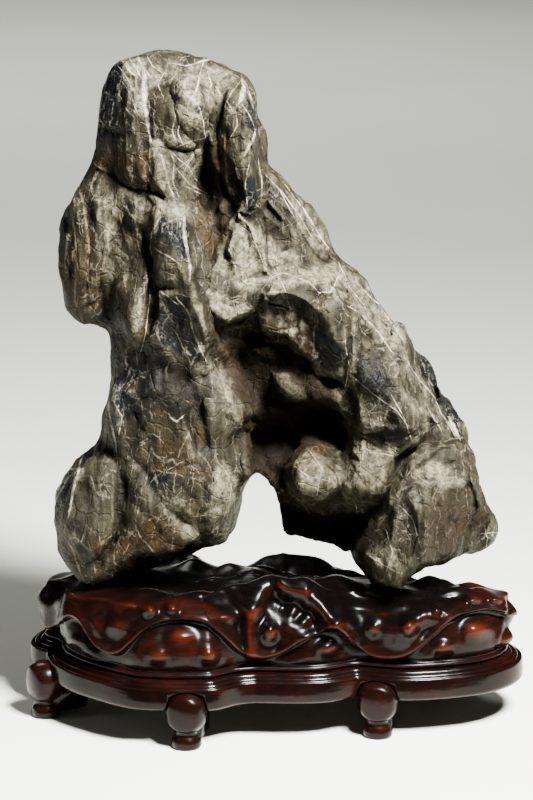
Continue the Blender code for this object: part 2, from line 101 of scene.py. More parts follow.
def make_camera():
    camera = add_object("camera", bpy.data.cameras.new("camera"))
    camera.location = Vector(EYE) * MM
    camera.rotation_euler = Vector(-BACK).to_track_quat("-Z", "Y").to_euler()
    camera.data.sensor_width = SENSOR
    camera.data.lens = FOCAL * SENSOR / PHOTO_SIZE[1]
    camera.data.clip_start = CLIP_START
    bpy.context.scene.camera = camera


# ---------------------------------------------------------------- meshes
BOX_MARGIN = 0.02            # mm that the pieces stay inside the CAD's box


def add_object(name, data):
    obj = bpy.data.objects.new(name, data)
    bpy.context.collection.objects.link(obj)
    return obj


def add_from_bmesh(name, mesh):
    data = bpy.data.meshes.new(name)
    mesh.to_mesh(data)
    mesh.free()
    return add_object(name, data)


def points_of(obj):
    flat = np.empty(len(obj.data.vertices) * 3)
    obj.data.vertices.foreach_get("co", flat)
    return flat.reshape(-1, 3) / MM


def move_points(obj, points):
    obj.data.vertices.foreach_set("co", (points * MM).ravel())
    obj.data.update()


def normals_of(obj):
    flat = np.empty(len(obj.data.vertices) * 3)
    obj.data.vertex_normals.foreach_get("vector", flat)
    return flat.reshape(-1, 3)


def edges_of(obj):
    flat = np.empty(len(obj.data.edges) * 2, dtype=np.int32)
    obj.data.edges.foreach_get("vertices", flat)
    return flat.reshape(-1, 2)


def store(obj, name, values):
    """Keep one value a point on the mesh, for its material to read."""
    held = obj.data.attributes.new(name, "FLOAT", "POINT")
    held.data.foreach_set("value", np.asarray(values, dtype=np.float32))


def smoothed(values, edges, rounds, share=0.5):
    """Values averaged with their neighbours along the edges, some rounds over."""
    out = np.array(values, float)
    flat = out.reshape(len(out), -1)
    count = np.bincount(edges.ravel(), minlength=len(flat))[:, None]
    for _ in range(rounds):
        total = np.zeros_like(flat)
        for k in range(flat.shape[1]):
            total[:, k] += np.bincount(edges[:, 0], flat[edges[:, 1], k], len(flat))
            total[:, k] += np.bincount(edges[:, 1], flat[edges[:, 0], k], len(flat))
        flat += share * (total / np.maximum(count, 1) - flat)
    return flat.reshape(out.shape)


def add_mesh(name, verts, faces):
    mesh = bpy.data.meshes.new(name)
    mesh.from_pydata([tuple(MM * c for c in v) for v in verts], [], faces)
    mesh.update()
    return add_object(name, mesh)


def bake(obj):
    """Put the modifiers' result in place of the mesh."""
    depsgraph = bpy.context.evaluated_depsgraph_get()
    done = bpy.data.meshes.new_from_object(obj.evaluated_get(depsgraph))
    obj.modifiers.clear()
    obj.data = done


def thin_to(obj, triangles):
    """Collapse the least telling edges until about this many triangles are left."""
    thinner = obj.modifiers.new("Thinner", "DECIMATE")
    thinner.ratio = min(1, triangles / sum(len(p.vertices) - 2 for p in obj.data.polygons))
    bake(obj)


def remesh(obj):
    """Work the mesh anew in cells of one size."""
    cells = obj.modifiers.new("Cells", "REMESH")
    cells.mode = "VOXEL"
    cells.voxel_size = STONE_CELL * MM
    bake(obj)


def copy_of_node(node, name):
    """A free copy of a CAD node with its split points joined again."""
    mesh = bmesh.new()
    mesh.from_mesh(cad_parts[node].data)
    bmesh.ops.remove_doubles(mesh, verts=mesh.verts, dist=0.00002)
    return add_from_bmesh(name, mesh)


def dress(obj, node, look):
    """Give a piece its material and its body, inside the CAD's box, and hide the CAD node it stands
    for.
    """
    low, high = (np.array(corner, float) / MM for corner in cad_box)
    move_points(obj, np.clip(points_of(obj), low + BOX_MARGIN, high - BOX_MARGIN))
    obj.data.materials.clear()
    obj.data.materials.append(look)
    obj.data.shade_smooth()
    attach(obj, "root")
    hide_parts(node)


# ---------------------------------------------------------------- carving tools
SHARP_SHARE = 0.6            # of a stroke's width, how wide a sharp one is
SHEER_SHARE = 0.22           # of a ledge's width, how wide its sheer side is
END_RUN = 0.04               # share of a stroke's run over which each end fades
END_LEVEL = 0.6              # what is left of its height at the end
FACET_TILT = 2.4
FACET_REACH = 9              # mm that a facet's points may be moved
FACET_LEAST_POINTS = 12
ANCHOR_REACH = 4             # px round an anchor in which the surface is read
FILL_END = (80, 60)          # mm behind the plane where filling fades in
HASH_PRIMES = (73856093, 19349663, 83492791)
PATCH_KINDS = 4096


def ramp(values, low, high):
    """0 below low, 1 above high, eased between."""
    t = np.clip((values - low) / (high - low), 0, 1)
    return t * t * (3 - 2 * t)


def along_line(points, line):
    """Signed distance to a 2-D polyline (right of its run is positive) and the share run."""
    line = np.array(line, float)
    nearest = np.full(len(points), np.inf)
    signed = np.zeros(len(points))
    share = np.zeros(len(points))
    steps = np.hypot(*np.diff(line, axis=0).T)
    begun = np.concatenate([[0], np.cumsum(steps)]) / steps.sum()
    for k, (a, b) in enumerate(zip(line[:-1], line[1:])):
        run = b - a
        t = np.clip(((points - a) @ run) / (run @ run), 0, 1)
        gap = points - a - t[:, None] * run
        far = np.hypot(gap[:, 0], gap[:, 1])
        closer = far < nearest
        side = np.where(run[0] * gap[:, 1] - run[1] * gap[:, 0] >= 0, 1, -1)
        nearest = np.where(closer, far, nearest)
        signed = np.where(closer, far * side, signed)
        share = np.where(closer, begun[k] + t * (begun[k + 1] - begun[k]), share)
    return signed, share


def inside(points, corners):
    """Signed distance to a closed polygon, positive inside."""
    loop = list(corners) + [corners[0]]
    far, _ = along_line(points, loop)
    crossings = np.zeros(len(points), bool)
    for (ax, ay), (bx, by) in zip(loop[:-1], loop[1:]):
        spans = (ay > points[:, 1]) != (by > points[:, 1])
        at = ax + (points[:, 1] - ay) * (bx - ax) / (by - ay + 1e-9)
        crossings ^= spans & (points[:, 0] < at)
    return np.where(crossings, np.abs(far), -np.abs(far))


def wave_profile(kind, signed, width):
    """Height, 0 to 1, of a carved stroke at a signed distance from its line."""
    near = np.abs(signed)
    if kind == "round":
        return np.exp(-(near / width) ** 2)
    if kind == "sharp":
        return np.exp(-near / (SHARP_SHARE * width))
    sheer = np.exp(-(near / (SHEER_SHARE * width)) ** 2)
    slope = np.exp(-(near / width) ** 2)
    return np.where(signed > 0, slope, sheer)


def carve(obj, strokes):
    """Work strokes into what the camera sees: name, kind, width px, height mm, pixels."""
    points = points_of(obj)
    sight = sight_lines(points)
    seen = ramp(facing_eye(obj, sight), 0, 0.35)
    pixels = to_pixels(points)
    for _, kind, width, height, line in strokes:
        signed, share = along_line(pixels, line)
        ends = ramp(share, 0, END_RUN) * ramp(1 - share, 0, END_RUN)
        ends = ends * (1 - END_LEVEL) + END_LEVEL
        lift = height * wave_profile(kind, signed, width) * ends * seen
        points += sight * lift[:, None]
    move_points(obj, points)


def flatten_facets(obj, facets):
    """Press each polygon of pixels towards its own mean plane, tilted as asked."""
    points = points_of(obj)
    sight = sight_lines(points)
    seen = ramp(facing_eye(obj, sight), 0.05, 0.4)
    pixels = to_pixels(points)
    for _, strength, tilt, corners in facets:
        depth_now = (points - EYE) @ -BACK
        edge = inside(pixels, corners)
        held = (edge > 0) & (seen > 0.3)
        if held.sum() < FACET_LEAST_POINTS:
            continue
        centre = pixels[held].mean(axis=0)
        basis = np.column_stack([pixels - centre, np.ones(len(pixels))])
        plane, *_ = np.linalg.lstsq(basis[held], depth_now[held], rcond=None)
        plane[:2] += FACET_TILT * np.array(tilt) / 100
        pull = ramp(edge, -2, 3) * seen * strength
        lift = np.clip(depth_now - basis @ plane, -FACET_REACH, FACET_REACH) * pull
        points += sight * lift[:, None]
    move_points(obj, points)


def rough_noise(points, size, seed, octaves=4):
    return np.array([noise.fractal(Vector(p / size) + Vector((seed, 0, 0)), 1.0, 2.0, octaves)
                     for p in points])


def ridged_noise(points, size, seed, octaves=4):
    return np.array([noise.ridged_multi_fractal(Vector(p / size) + Vector((seed, 0, 0)),
                                                0.9, 2.1, octaves, 1.0, 2.0) for p in points])


# ---------------------------------------------------------------- the stone's form
STONE_CELL = 1.25            # mm, the size of the cells the stone is worked in
STONE_SMOOTHING = 6
STONE_TRIANGLES = 190000
STONE_TURN = math.radians(9)
STONE_MIDDLE = np.array([0.0, 8.0, 0.0])

# Flat broken faces: name, strength, tilt (right, down), corner pixels
FACETS = [
    ("nose left", 0.7, (7, 4), [(262, 292), (284, 290), (304, 304), (302, 330), (268, 334)]),
    ("nose top", 0.6, (4, -8), [(280, 284), (304, 284), (332, 300), (320, 314), (300, 300)]),
    ("nose end", 0.7, (-5, 3), [(312, 318), (334, 318), (346, 344), (342, 372), (322, 368)]),
    ("head left face", 0.8, (-9, 4), [(101, 80), (122, 57), (140, 66), (134, 130), (100, 118)]),
    ("head lower left", 0.7, (-6, -5), [(98, 125), (140, 135), (148, 190), (118, 182), (92, 160)]),
    ("head brow", 0.6, (0, 12), [(126, 54), (190, 50), (205, 72), (150, 84), (130, 70)]),
    ("head right brow", 0.6, (4, 10), [(205, 58), (245, 74), (240, 92), (208, 80)]),
    ("head middle", 0.7, (3, -6), [(150, 140), (196, 146), (200, 196), (172, 212), (154, 180)]),
    ("tusk face", 0.6, (-5, -4), [(228, 100), (250, 118), (256, 150), (246, 196), (232, 180)]),
    ("slab left", 0.85, (-12, 2), [(238, 210), (224, 250), (210, 272), (212, 250), (226, 222)]),
    ("slab middle", 0.85, (7, 3), [(238, 210), (262, 240), (266, 276), (236, 282), (226, 250)]),
    ("slab right", 0.8, (-4, 5), [(240, 210), (262, 208), (288, 232), (296, 262), (268, 272),
     (262, 240)]),
    ("slab lip face", 0.8, (3, -8), [(210, 272), (236, 284), (262, 280), (250, 312), (226, 324),
     (212, 306)]),
    ("flank top", 0.7, (8, 3), [(268, 172), (296, 194), (322, 236), (334, 262), (312, 262),
     (288, 226), (268, 204)]),
    ("flank middle", 0.8, (9, -2), [(348, 278), (372, 296), (392, 326), (384, 352), (362, 330),
     (350, 306)]),
    ("flank lower", 0.8, (10, 2), [(396, 322), (436, 376), (456, 424), (440, 432), (414, 392),
     (392, 350)]),
    ("cheek", 0.7, (-3, 3), [(348, 330), (384, 358), (404, 396), (398, 430), (366, 420),
     (350, 380)]),
    ("cheek low", 0.7, (2, -7), [(352, 428), (400, 432), (430, 430), (404, 454), (376, 470),
     (348, 452)]),
    ("leg upper face", 0.8, (-6, 5), [(442, 440), (462, 452), (474, 474), (430, 484), (404, 474),
     (418, 452)]),
    ("leg front face", 0.85, (-13, -2), [(398, 480), (420, 508), (422, 542), (412, 566),
     (394, 584), (378, 560), (366, 552), (384, 512)]),
    ("leg right face", 0.85, (8, -8), [(424, 500), (470, 482), (492, 516), (476, 548), (440, 560),
     (416, 566), (424, 540)]),
    ("column front", 0.6, (8, 0), [(158, 292), (190, 288), (212, 366), (186, 388), (156, 340)]),
    ("column low", 0.6, (-6, 0), [(128, 392), (180, 396), (196, 460), (150, 480), (122, 450)]),
    ("leg inner", 0.6, (14, -2), [(206, 400), (236, 420), (246, 470), (236, 512), (214, 480)]),
    ("boulder face", 0.6, (-8, -3), [(84, 456), (110, 462), (118, 520), (96, 560), (74, 540),
     (72, 500)]),
    ("shoulder face", 0.7, (-7, 0), [(74, 200), (104, 196), (110, 250), (94, 300), (76, 310),
     (64, 262)])]

# Strokes: name, kind, width px, height mm (below 0 cuts in), line of pixels. A ledge stands
# sheer on the left of its run and slopes away on the right.
STONE_STROKES = [
    ("head boss", "round", 9, 3.2, [(186, 92), (192, 112), (202, 136)]),
    ("head boss left", "sharp", 4, -2.2, [(170, 84), (176, 104), (186, 134), (200, 150)]),
    ("head boss right", "sharp", 4, -2.5, [(198, 92), (206, 118), (206, 146)]),
    ("head seam", "sharp", 4, -1.8, [(146, 80), (149, 110), (152, 140), (154, 174)]),
    ("head groove", "round", 7, -3.5, [(208, 132), (209, 165), (214, 200), (220, 236)]),
    ("head groove two", "sharp", 4, -3, [(214, 86), (216, 120), (220, 152), (224, 190)]),
    ("tusk left", "ledge", 12, 3.0, [(236, 214), (226, 176), (224, 130), (232, 92)]),
    ("tusk tip", "ledge", 10, 3.5, [(262, 206), (252, 216), (240, 210), (230, 186)]),
    ("tusk seam", "sharp", 3, -1.6, [(244, 92), (240, 130), (236, 160), (240, 196)]),
    ("head ledge", "ledge", 14, 1.2, [(174, 214), (158, 204), (140, 191), (118, 180), (94, 166)]),
    ("head under", "sharp", 4, -2, [(96, 170), (120, 182), (142, 194), (160, 208)]),
    ("shoulder rib", "round", 5, 2.0, [(76, 196), (76, 240), (80, 282), (84, 312)]),
    ("shoulder rut", "sharp", 4, -2.0, [(86, 196), (90, 240), (88, 290)]),
    ("shoulder rut two", "sharp", 4, -2.2, [(101, 190), (104, 232), (100, 280), (104, 312)]),
    ("shoulder gap", "round", 5, -2.4, [(124, 206), (120, 250), (112, 290), (112, 322)]),
    ("cap", "round", 11, 3.5, [(170, 222), (172, 246), (168, 270)]),
    ("cap knob", "round", 6, 2.4, [(180, 256), (184, 276)]),
    ("cap knob two", "round", 5, 2.0, [(160, 232), (158, 248)]),
    ("cap left", "ledge", 9, 3.4, [(158, 214), (152, 240), (146, 272), (144, 300)]),
    ("column left", "ledge", 12, 3.6, [(144, 290), (134, 320), (124, 360), (118, 396),
     (116, 436)]),
    ("column ridge", "round", 9, 3.0, [(188, 288), (200, 330), (214, 370), (232, 404), (242, 440),
     (244, 478)]),
    ("column rut", "round", 7, -2.4, [(166, 296), (176, 340), (188, 384), (206, 424), (222, 470)]),
    ("column right", "ledge", 8, 4.5, [(192, 286), (206, 322), (222, 348), (240, 392), (250, 430),
     (252, 470)]), ("leg boss", "round", 12, 2.5, [(176, 400), (182, 412)]),
    ("leg low rut", "round", 8, -3.0, [(140, 470), (160, 500), (186, 520), (206, 540)]),
    ("leg foot ridge", "round", 7, 2.6, [(208, 486), (226, 500), (232, 520)]),
    ("boulder crease", "round", 6, -4, [(106, 446), (118, 466), (124, 500), (116, 536),
     (96, 566)]), ("boulder rib", "round", 5, 1.8, [(84, 452), (74, 486), (68, 524), (78, 566)]),
    ("slab apex", "round", 5, 2.4, [(240, 212), (252, 230), (266, 262)]),
    ("slab lip", "ledge", 12, 5.5, [(206, 288), (211, 306), (225, 326), (240, 324), (256, 314),
     (266, 296)]), ("slab crease", "sharp", 4, -3.0, [(238, 284), (250, 278), (268, 274)]),
    ("slab crease two", "sharp", 4, -3.2, [(262, 210), (266, 240), (268, 270)]),
    ("flank pocket", "round", 8, -5, [(276, 228), (282, 242), (286, 252)]),
    ("flank rut", "sharp", 4, -2.6, [(268, 196), (290, 216), (312, 252), (330, 268)]),
    ("brow", "round", 10, 1.2, [(276, 284), (300, 290), (322, 304), (338, 328), (342, 352)]),
    ("brow edge", "ledge", 9, 3.0, [(340, 376), (322, 372), (306, 352), (288, 340), (264, 338)]),
    ("brow pocket", "round", 6, -1.0, [(268, 306), (280, 303), (294, 307), (302, 318)]),
    ("brow pocket floor", "round", 6, 2.0, [(312, 326), (294, 328), (276, 328), (264, 322)]),
    ("brow end", "round", 8, 2.4, [(322, 338), (332, 350), (334, 362)]),
    ("tooth", "round", 10, 6.0, [(276, 376), (288, 380), (302, 392)]),
    ("tooth under", "sharp", 6, -4.0, [(274, 398), (290, 404), (306, 400)]),
    ("hollow left", "round", 12, -4, [(232, 350), (248, 380), (258, 420), (260, 456)]),
    ("hollow rib", "round", 9, 3, [(222, 340), (236, 372), (246, 410), (250, 450)]),
    ("hollow top", "round", 6, -3, [(232, 336), (250, 336), (266, 340)]),
    ("hollow ledge", "ledge", 10, 3.5, [(304, 428), (276, 424), (250, 414)]),
    ("brow end under", "round", 7, -2.5, [(322, 372), (334, 384), (346, 388)]),
    ("deep hole", "round", 9, -11, [(322, 420), (334, 434), (338, 442)]),
    ("deep hole two", "round", 7, -2.5, [(306, 404), (318, 414), (330, 424)]),
    ("snout top", "ledge", 12, 5.0, [(346, 444), (330, 444), (314, 446), (298, 456), (291, 474)]),
    ("snout right", "round", 5, -3.5, [(342, 452), (346, 478), (338, 500)]),
    ("snout under", "round", 9, -6, [(286, 508), (310, 508), (332, 514), (356, 522)]),
    ("cheek seam", "sharp", 4, -1.6, [(344, 276), (350, 306), (350, 340), (346, 368)]),
    ("cheek left edge", "ledge", 10, 4.5, [(348, 286), (356, 326), (352, 372), (340, 404),
     (342, 430)]), ("cheek pocket", "round", 8, -4.0, [(368, 330), (376, 350)]),
    ("cheek rib", "round", 6, 2.4, [(352, 356), (370, 380), (392, 402), (404, 426)]),
    ("cheek rib two", "round", 6, 2.0, [(384, 342), (410, 376), (430, 410), (446, 432)]),
    ("cheek rut", "sharp", 4, -3.0, [(392, 342), (414, 374), (428, 404), (432, 430)]),
    ("leg crease", "round", 7, -6, [(464, 436), (440, 438), (420, 446), (404, 460), (396, 478),
     (388, 498), (374, 516)]),
    ("leg crease edge", "ledge", 10, 3.5, [(462, 444), (440, 446), (412, 466), (402, 486),
     (386, 514), (366, 548)]),
    ("leg ridge", "round", 5, 3.0, [(414, 496), (421, 514), (423, 542), (414, 566), (396, 584)]),
    ("leg wing rut", "round", 6, -2.5, [(430, 500), (450, 520), (476, 530)]),
    ("leg wing knob", "round", 7, 2.5, [(486, 530), (494, 540)]),
    ("right shelf", "sharp", 5, -3.0, [(352, 464), (366, 486), (370, 508)])]

# Fine seams and cracks: lines of pixels, all of one kind, width px and depth mm
SEAM_KIND = ("seam", "sharp", 2.2, -1.2)
STONE_SEAMS = [
    [(353, 338), (362, 350), (380, 361), (401, 379), (405, 391), (416, 397)],
    [(110, 66), (128, 76), (140, 96)], [(150, 64), (164, 78), (172, 100)],
    [(184, 150), (196, 172), (190, 200)], [(158, 150), (182, 172), (200, 186)],
    [(166, 196), (186, 176), (202, 154)], [(224, 256), (238, 262), (252, 258)],
    [(246, 222), (250, 244), (246, 270)], [(282, 206), (300, 232), (318, 258)],
    [(300, 200), (306, 226), (326, 250)], [(364, 296), (378, 318), (396, 340)],
    [(410, 350), (424, 372), (436, 402)], [(372, 392), (392, 404), (418, 408)],
    [(300, 462), (316, 470), (326, 492)], [(360, 436), (380, 448), (398, 446)],
    [(424, 452), (446, 462), (466, 464)], [(434, 496), (452, 506), (484, 504)],
    [(400, 500), (406, 530), (398, 560)], [(380, 528), (392, 546), (404, 566)],
    [(150, 330), (162, 360), (160, 392)], [(196, 316), (206, 350), (224, 378)],
    [(134, 412), (150, 440), (146, 476)], [(190, 430), (196, 462), (214, 486)],
    [(92, 474), (100, 506), (96, 544)], [(130, 500), (152, 520), (170, 546)],
    [(176, 482), (196, 500), (204, 526)], [(128, 218), (134, 250), (128, 280)],
    [(68, 214), (68, 250), (72, 284)], [(120, 84), (122, 112), (112, 140)],
    [(232, 110), (244, 130), (252, 150)], [(284, 342), (300, 352), (312, 364)],
    [(216, 300), (232, 306), (250, 300)], [(270, 250), (286, 262), (304, 268)]]


def stone_plane(points):
    """Places in the stone's own upright plane: along its face, into its depth, up."""
    flat = points - STONE_MIDDLE
    c, s = math.cos(STONE_TURN), math.sin(STONE_TURN)
    return np.column_stack([flat[:, 0] * c + flat[:, 1] * s,
                            flat[:, 1] * c - flat[:, 0] * s, flat[:, 2]])


# Parts brought nearer the camera (or, below 0, pushed away): mm, softness px, corner pixels
STONE_PUSHES = [
    (3, 18, [(236, 336), (262, 326), (300, 344), (318, 376), (340, 392), (338, 430), (312, 446),
     (292, 470), (282, 500), (272, 484), (254, 470), (246, 440), (238, 396)]),
    (3, 9, [(206, 140), (217, 150), (224, 196), (236, 224), (226, 248), (212, 240)]),
    (-8, 7, [(318, 410), (334, 406), (344, 416), (340, 440), (326, 444), (318, 430)]),
    (-10, 7, [(282, 506), (330, 512), (364, 520), (350, 550), (284, 532)]),
    (7, 8, [(292, 460), (312, 450), (334, 458), (338, 486), (326, 502), (300, 496)]),
    (3, 9, [(258, 290), (280, 284), (304, 284), (332, 300), (347, 336), (346, 372), (330, 378),
     (312, 368), (290, 342), (262, 338)]),
    (6, 5, [(208, 284), (236, 286), (264, 290), (256, 314), (226, 326), (211, 306)]),
    (5, 4, [(271, 372), (286, 374), (302, 388), (306, 398), (294, 402), (280, 390)]),
    (5, 8, [(228, 84), (254, 100), (260, 150), (258, 212), (242, 210), (226, 160)]),
    (4, 8, [(156, 216), (188, 214), (194, 250), (190, 286), (160, 284), (150, 250)]),
    (-12, 10, [(246, 430), (286, 424), (302, 448), (286, 490), (268, 478), (250, 466)]),
    (5, 10, [(352, 300), (380, 330), (404, 384), (398, 430), (356, 430), (350, 370)]),
    (6, 10, [(396, 480), (430, 490), (430, 560), (398, 586), (372, 556)])]
# Scallops broken out of the stone: size, depth, stretch along its own axes, seed
CHIPS = [(34, 9.0, (1.0, 1.0, 0.7), 4), (17, 4.2, (1.2, 1.0, 0.7), 9),
         (8.5, 1.8, (1.3, 1.0, 0.6), 15)]

# Recessed parts brought out: share, softness px, places on the plane they meet, corners
STONE_FILLS = [
    (0.88, 5, [(262, 282), (284, 280), (306, 282), (332, 296), (350, 330), (352, 366)],
     [(254, 280), (280, 275), (306, 275), (338, 291), (356, 334), (350, 372), (332, 379),
     (314, 362), (290, 337), (258, 332)]),
    (0.8, 6, [(104, 168), (130, 176), (156, 190), (100, 216), (130, 230), (160, 232)], [(96, 172),
     (122, 178), (152, 190), (176, 208), (164, 230), (128, 226), (98, 212)]),
    (0.35, 8, [(290, 480), (330, 500), (362, 506), (300, 534), (342, 546)], [(280, 500),
     (310, 504), (350, 510), (366, 524), (352, 552), (284, 534)]),
    (0.55, 7, [(248, 366), (270, 376), (300, 396), (334, 400), (290, 330), (324, 364), (262, 326)],
     [(250, 332), (290, 334), (316, 360), (332, 378), (346, 384), (322, 394), (296, 378),
     (268, 362), (248, 354)]),
    (0.35, 14, [(226, 380), (240, 430), (234, 340), (356, 380), (352, 430), (320, 462)],
     [(230, 332), (262, 334), (300, 348), (318, 372), (346, 392), (344, 424), (300, 424),
     (244, 420)]),
    (0.6, 6, [(198, 140), (198, 180), (204, 222), (236, 120), (242, 160), (244, 204)], [(203, 132),
     (224, 128), (232, 180), (238, 222), (224, 242), (208, 224)]),
    (0.6, 6, [(112, 220), (108, 260), (152, 226), (152, 264), (144, 302)], [(120, 208), (144, 210),
     (148, 262), (142, 302), (122, 322), (112, 302), (114, 250)])]


def push_parts(obj, pushes):
    """Bring parts nearer the camera, or push them away from it."""
    points = points_of(obj)
    sight = sight_lines(points)
    seen = ramp(facing_eye(obj, sight), 0, 0.3)
    pixels = to_pixels(points)
    for depth, soft, corners in pushes:
        cover = ramp(inside(pixels, corners), -0.6 * soft, soft) * seen
        points += sight * (depth * cover)[:, None]
    move_points(obj, points)


def fill_parts(obj, fills):
    """Bring recessed parts out towards the plane through some places seen round them."""
    points = points_of(obj)
    sight = sight_lines(points)
    facing = ramp(facing_eye(obj, sight), -0.45, -0.25)
    pixels = to_pixels(points)
    depth = (points - EYE) @ -BACK
    for strength, soft, anchors, corners in fills:
        held = []
        for spot in anchors:
            near = np.hypot(*(pixels - spot).T) < ANCHOR_REACH
            held.append((*spot, 1, depth[near].min()))
        held = np.array(held)
        plane, *_ = np.linalg.lstsq(held[:, :3], held[:, 3], rcond=None)
        behind = depth - np.column_stack([pixels, np.ones(len(pixels))]) @ plane
        cover = ramp(inside(pixels, corners), -1, soft) * ramp(behind, 0, 3) * facing
        lift = strength * behind * cover * ramp(behind, *FILL_END)
        points += sight * lift[:, None]
        depth -= lift
    move_points(obj, points)


def nearest_patch(points, size, rng):
    """For each point, the middle of its patch and the patch's own number."""
    jitter = rng.random((PATCH_KINDS, 3))
    home = np.floor(points / size).astype(int)
    best = np.full(len(points), np.inf)
    middle = np.zeros_like(points)
    kind = np.zeros(len(points), int)
    for step in np.ndindex(3, 3, 3):
        cell = home + np.array(step) - 1
        keys = (cell * HASH_PRIMES).sum(axis=1) % PATCH_KINDS
        spot = (cell + jitter[keys]) * size
        far = ((points - spot) ** 2).sum(axis=1)
        closer = far < best
        best = np.where(closer, far, best)
        middle[closer] = spot[closer]
        kind[closer] = keys[closer]
    return middle, kind


def chip_surface(obj, size, depth, stretch, seed):
    """Shallow broken scallops that meet in crisp arrises, deeper in some parts."""
    points = points_of(obj)
    own = stone_plane(points) * np.array(stretch)
    rng = np.random.default_rng(seed)
    bent = own + 0.25 * size * wandering(points, 1.4 * size, seed)[:, [0, 1, 0]]
    middle, _ = nearest_patch(bent, size, rng)
    hollowed = ((bent - middle) ** 2).sum(axis=1) / size ** 2
    part = 0.35 + 0.65 * ramp(rough_noise(points, 45, seed + 3.3, 2), -0.25, 0.25)
    lift = depth * part * (np.clip(hollowed, 0, 0.6) - 0.25)
    move_points(obj, points + normals_of(obj) * lift[:, None])


def make_stone():
    """The CAD's stone worked over: recesses, facets, strokes, broken relief, chips, seams."""
    stone = copy_of_node("rock", "stone")
    rounder = stone.modifiers.new("Rounder", "SUBSURF")
    rounder.levels = 1
    rounder.render_levels = 1
    remesh(stone)
    fill_parts(stone, STONE_FILLS)
    remesh(stone)
    move_points(stone, smoothed(points_of(stone), edges_of(stone), STONE_SMOOTHING))
    push_parts(stone, STONE_PUSHES)
    flatten_facets(stone, FACETS)
    carve(stone, STONE_STROKES)
    break_surface(stone)
    for size, depth, stretch, seed in CHIPS:
        chip_surface(stone, size, depth, stretch, seed)
    carve(stone, [(*SEAM_KIND, line) for line in STONE_SEAMS])
    thin_to(stone, STONE_TRIANGLES)
    keep_relief(stone, edges_of(stone))
    return stone


def break_surface(stone):
    """Natural broken relief: cleaved steps along the bedding, ridges and small lumps."""
    points = points_of(stone)
    out = normals_of(stone)
    own = stone_plane(points)
    bedded = own * np.array([1.0, 1.0, 0.45])
    steps = ridged_noise(bedded, 26, 2.1)
    lumps = rough_noise(points, 11, 7.3)
    fine = ridged_noise(bedded, 9, 5.5, 3)
    lift = 0.9 * (steps - steps.mean()) + 0.5 * lumps + 0.35 * (fine - fine.mean())
    move_points(stone, points + out * np.clip(lift, -3, 2)[:, None])


def keep_relief(obj, edges, near=10, far=60):
    """Keep how far each point lies below (or, negative, above) its surroundings, mm."""
    points = points_of(obj)
    out = normals_of(obj)
    soft = smoothed(points, edges, near)
    store(obj, "edge", ((soft - points) * out).sum(axis=1))
    softer = smoothed(soft, edges, far)
    store(obj, "hollow", ((softer - points) * out).sum(axis=1))


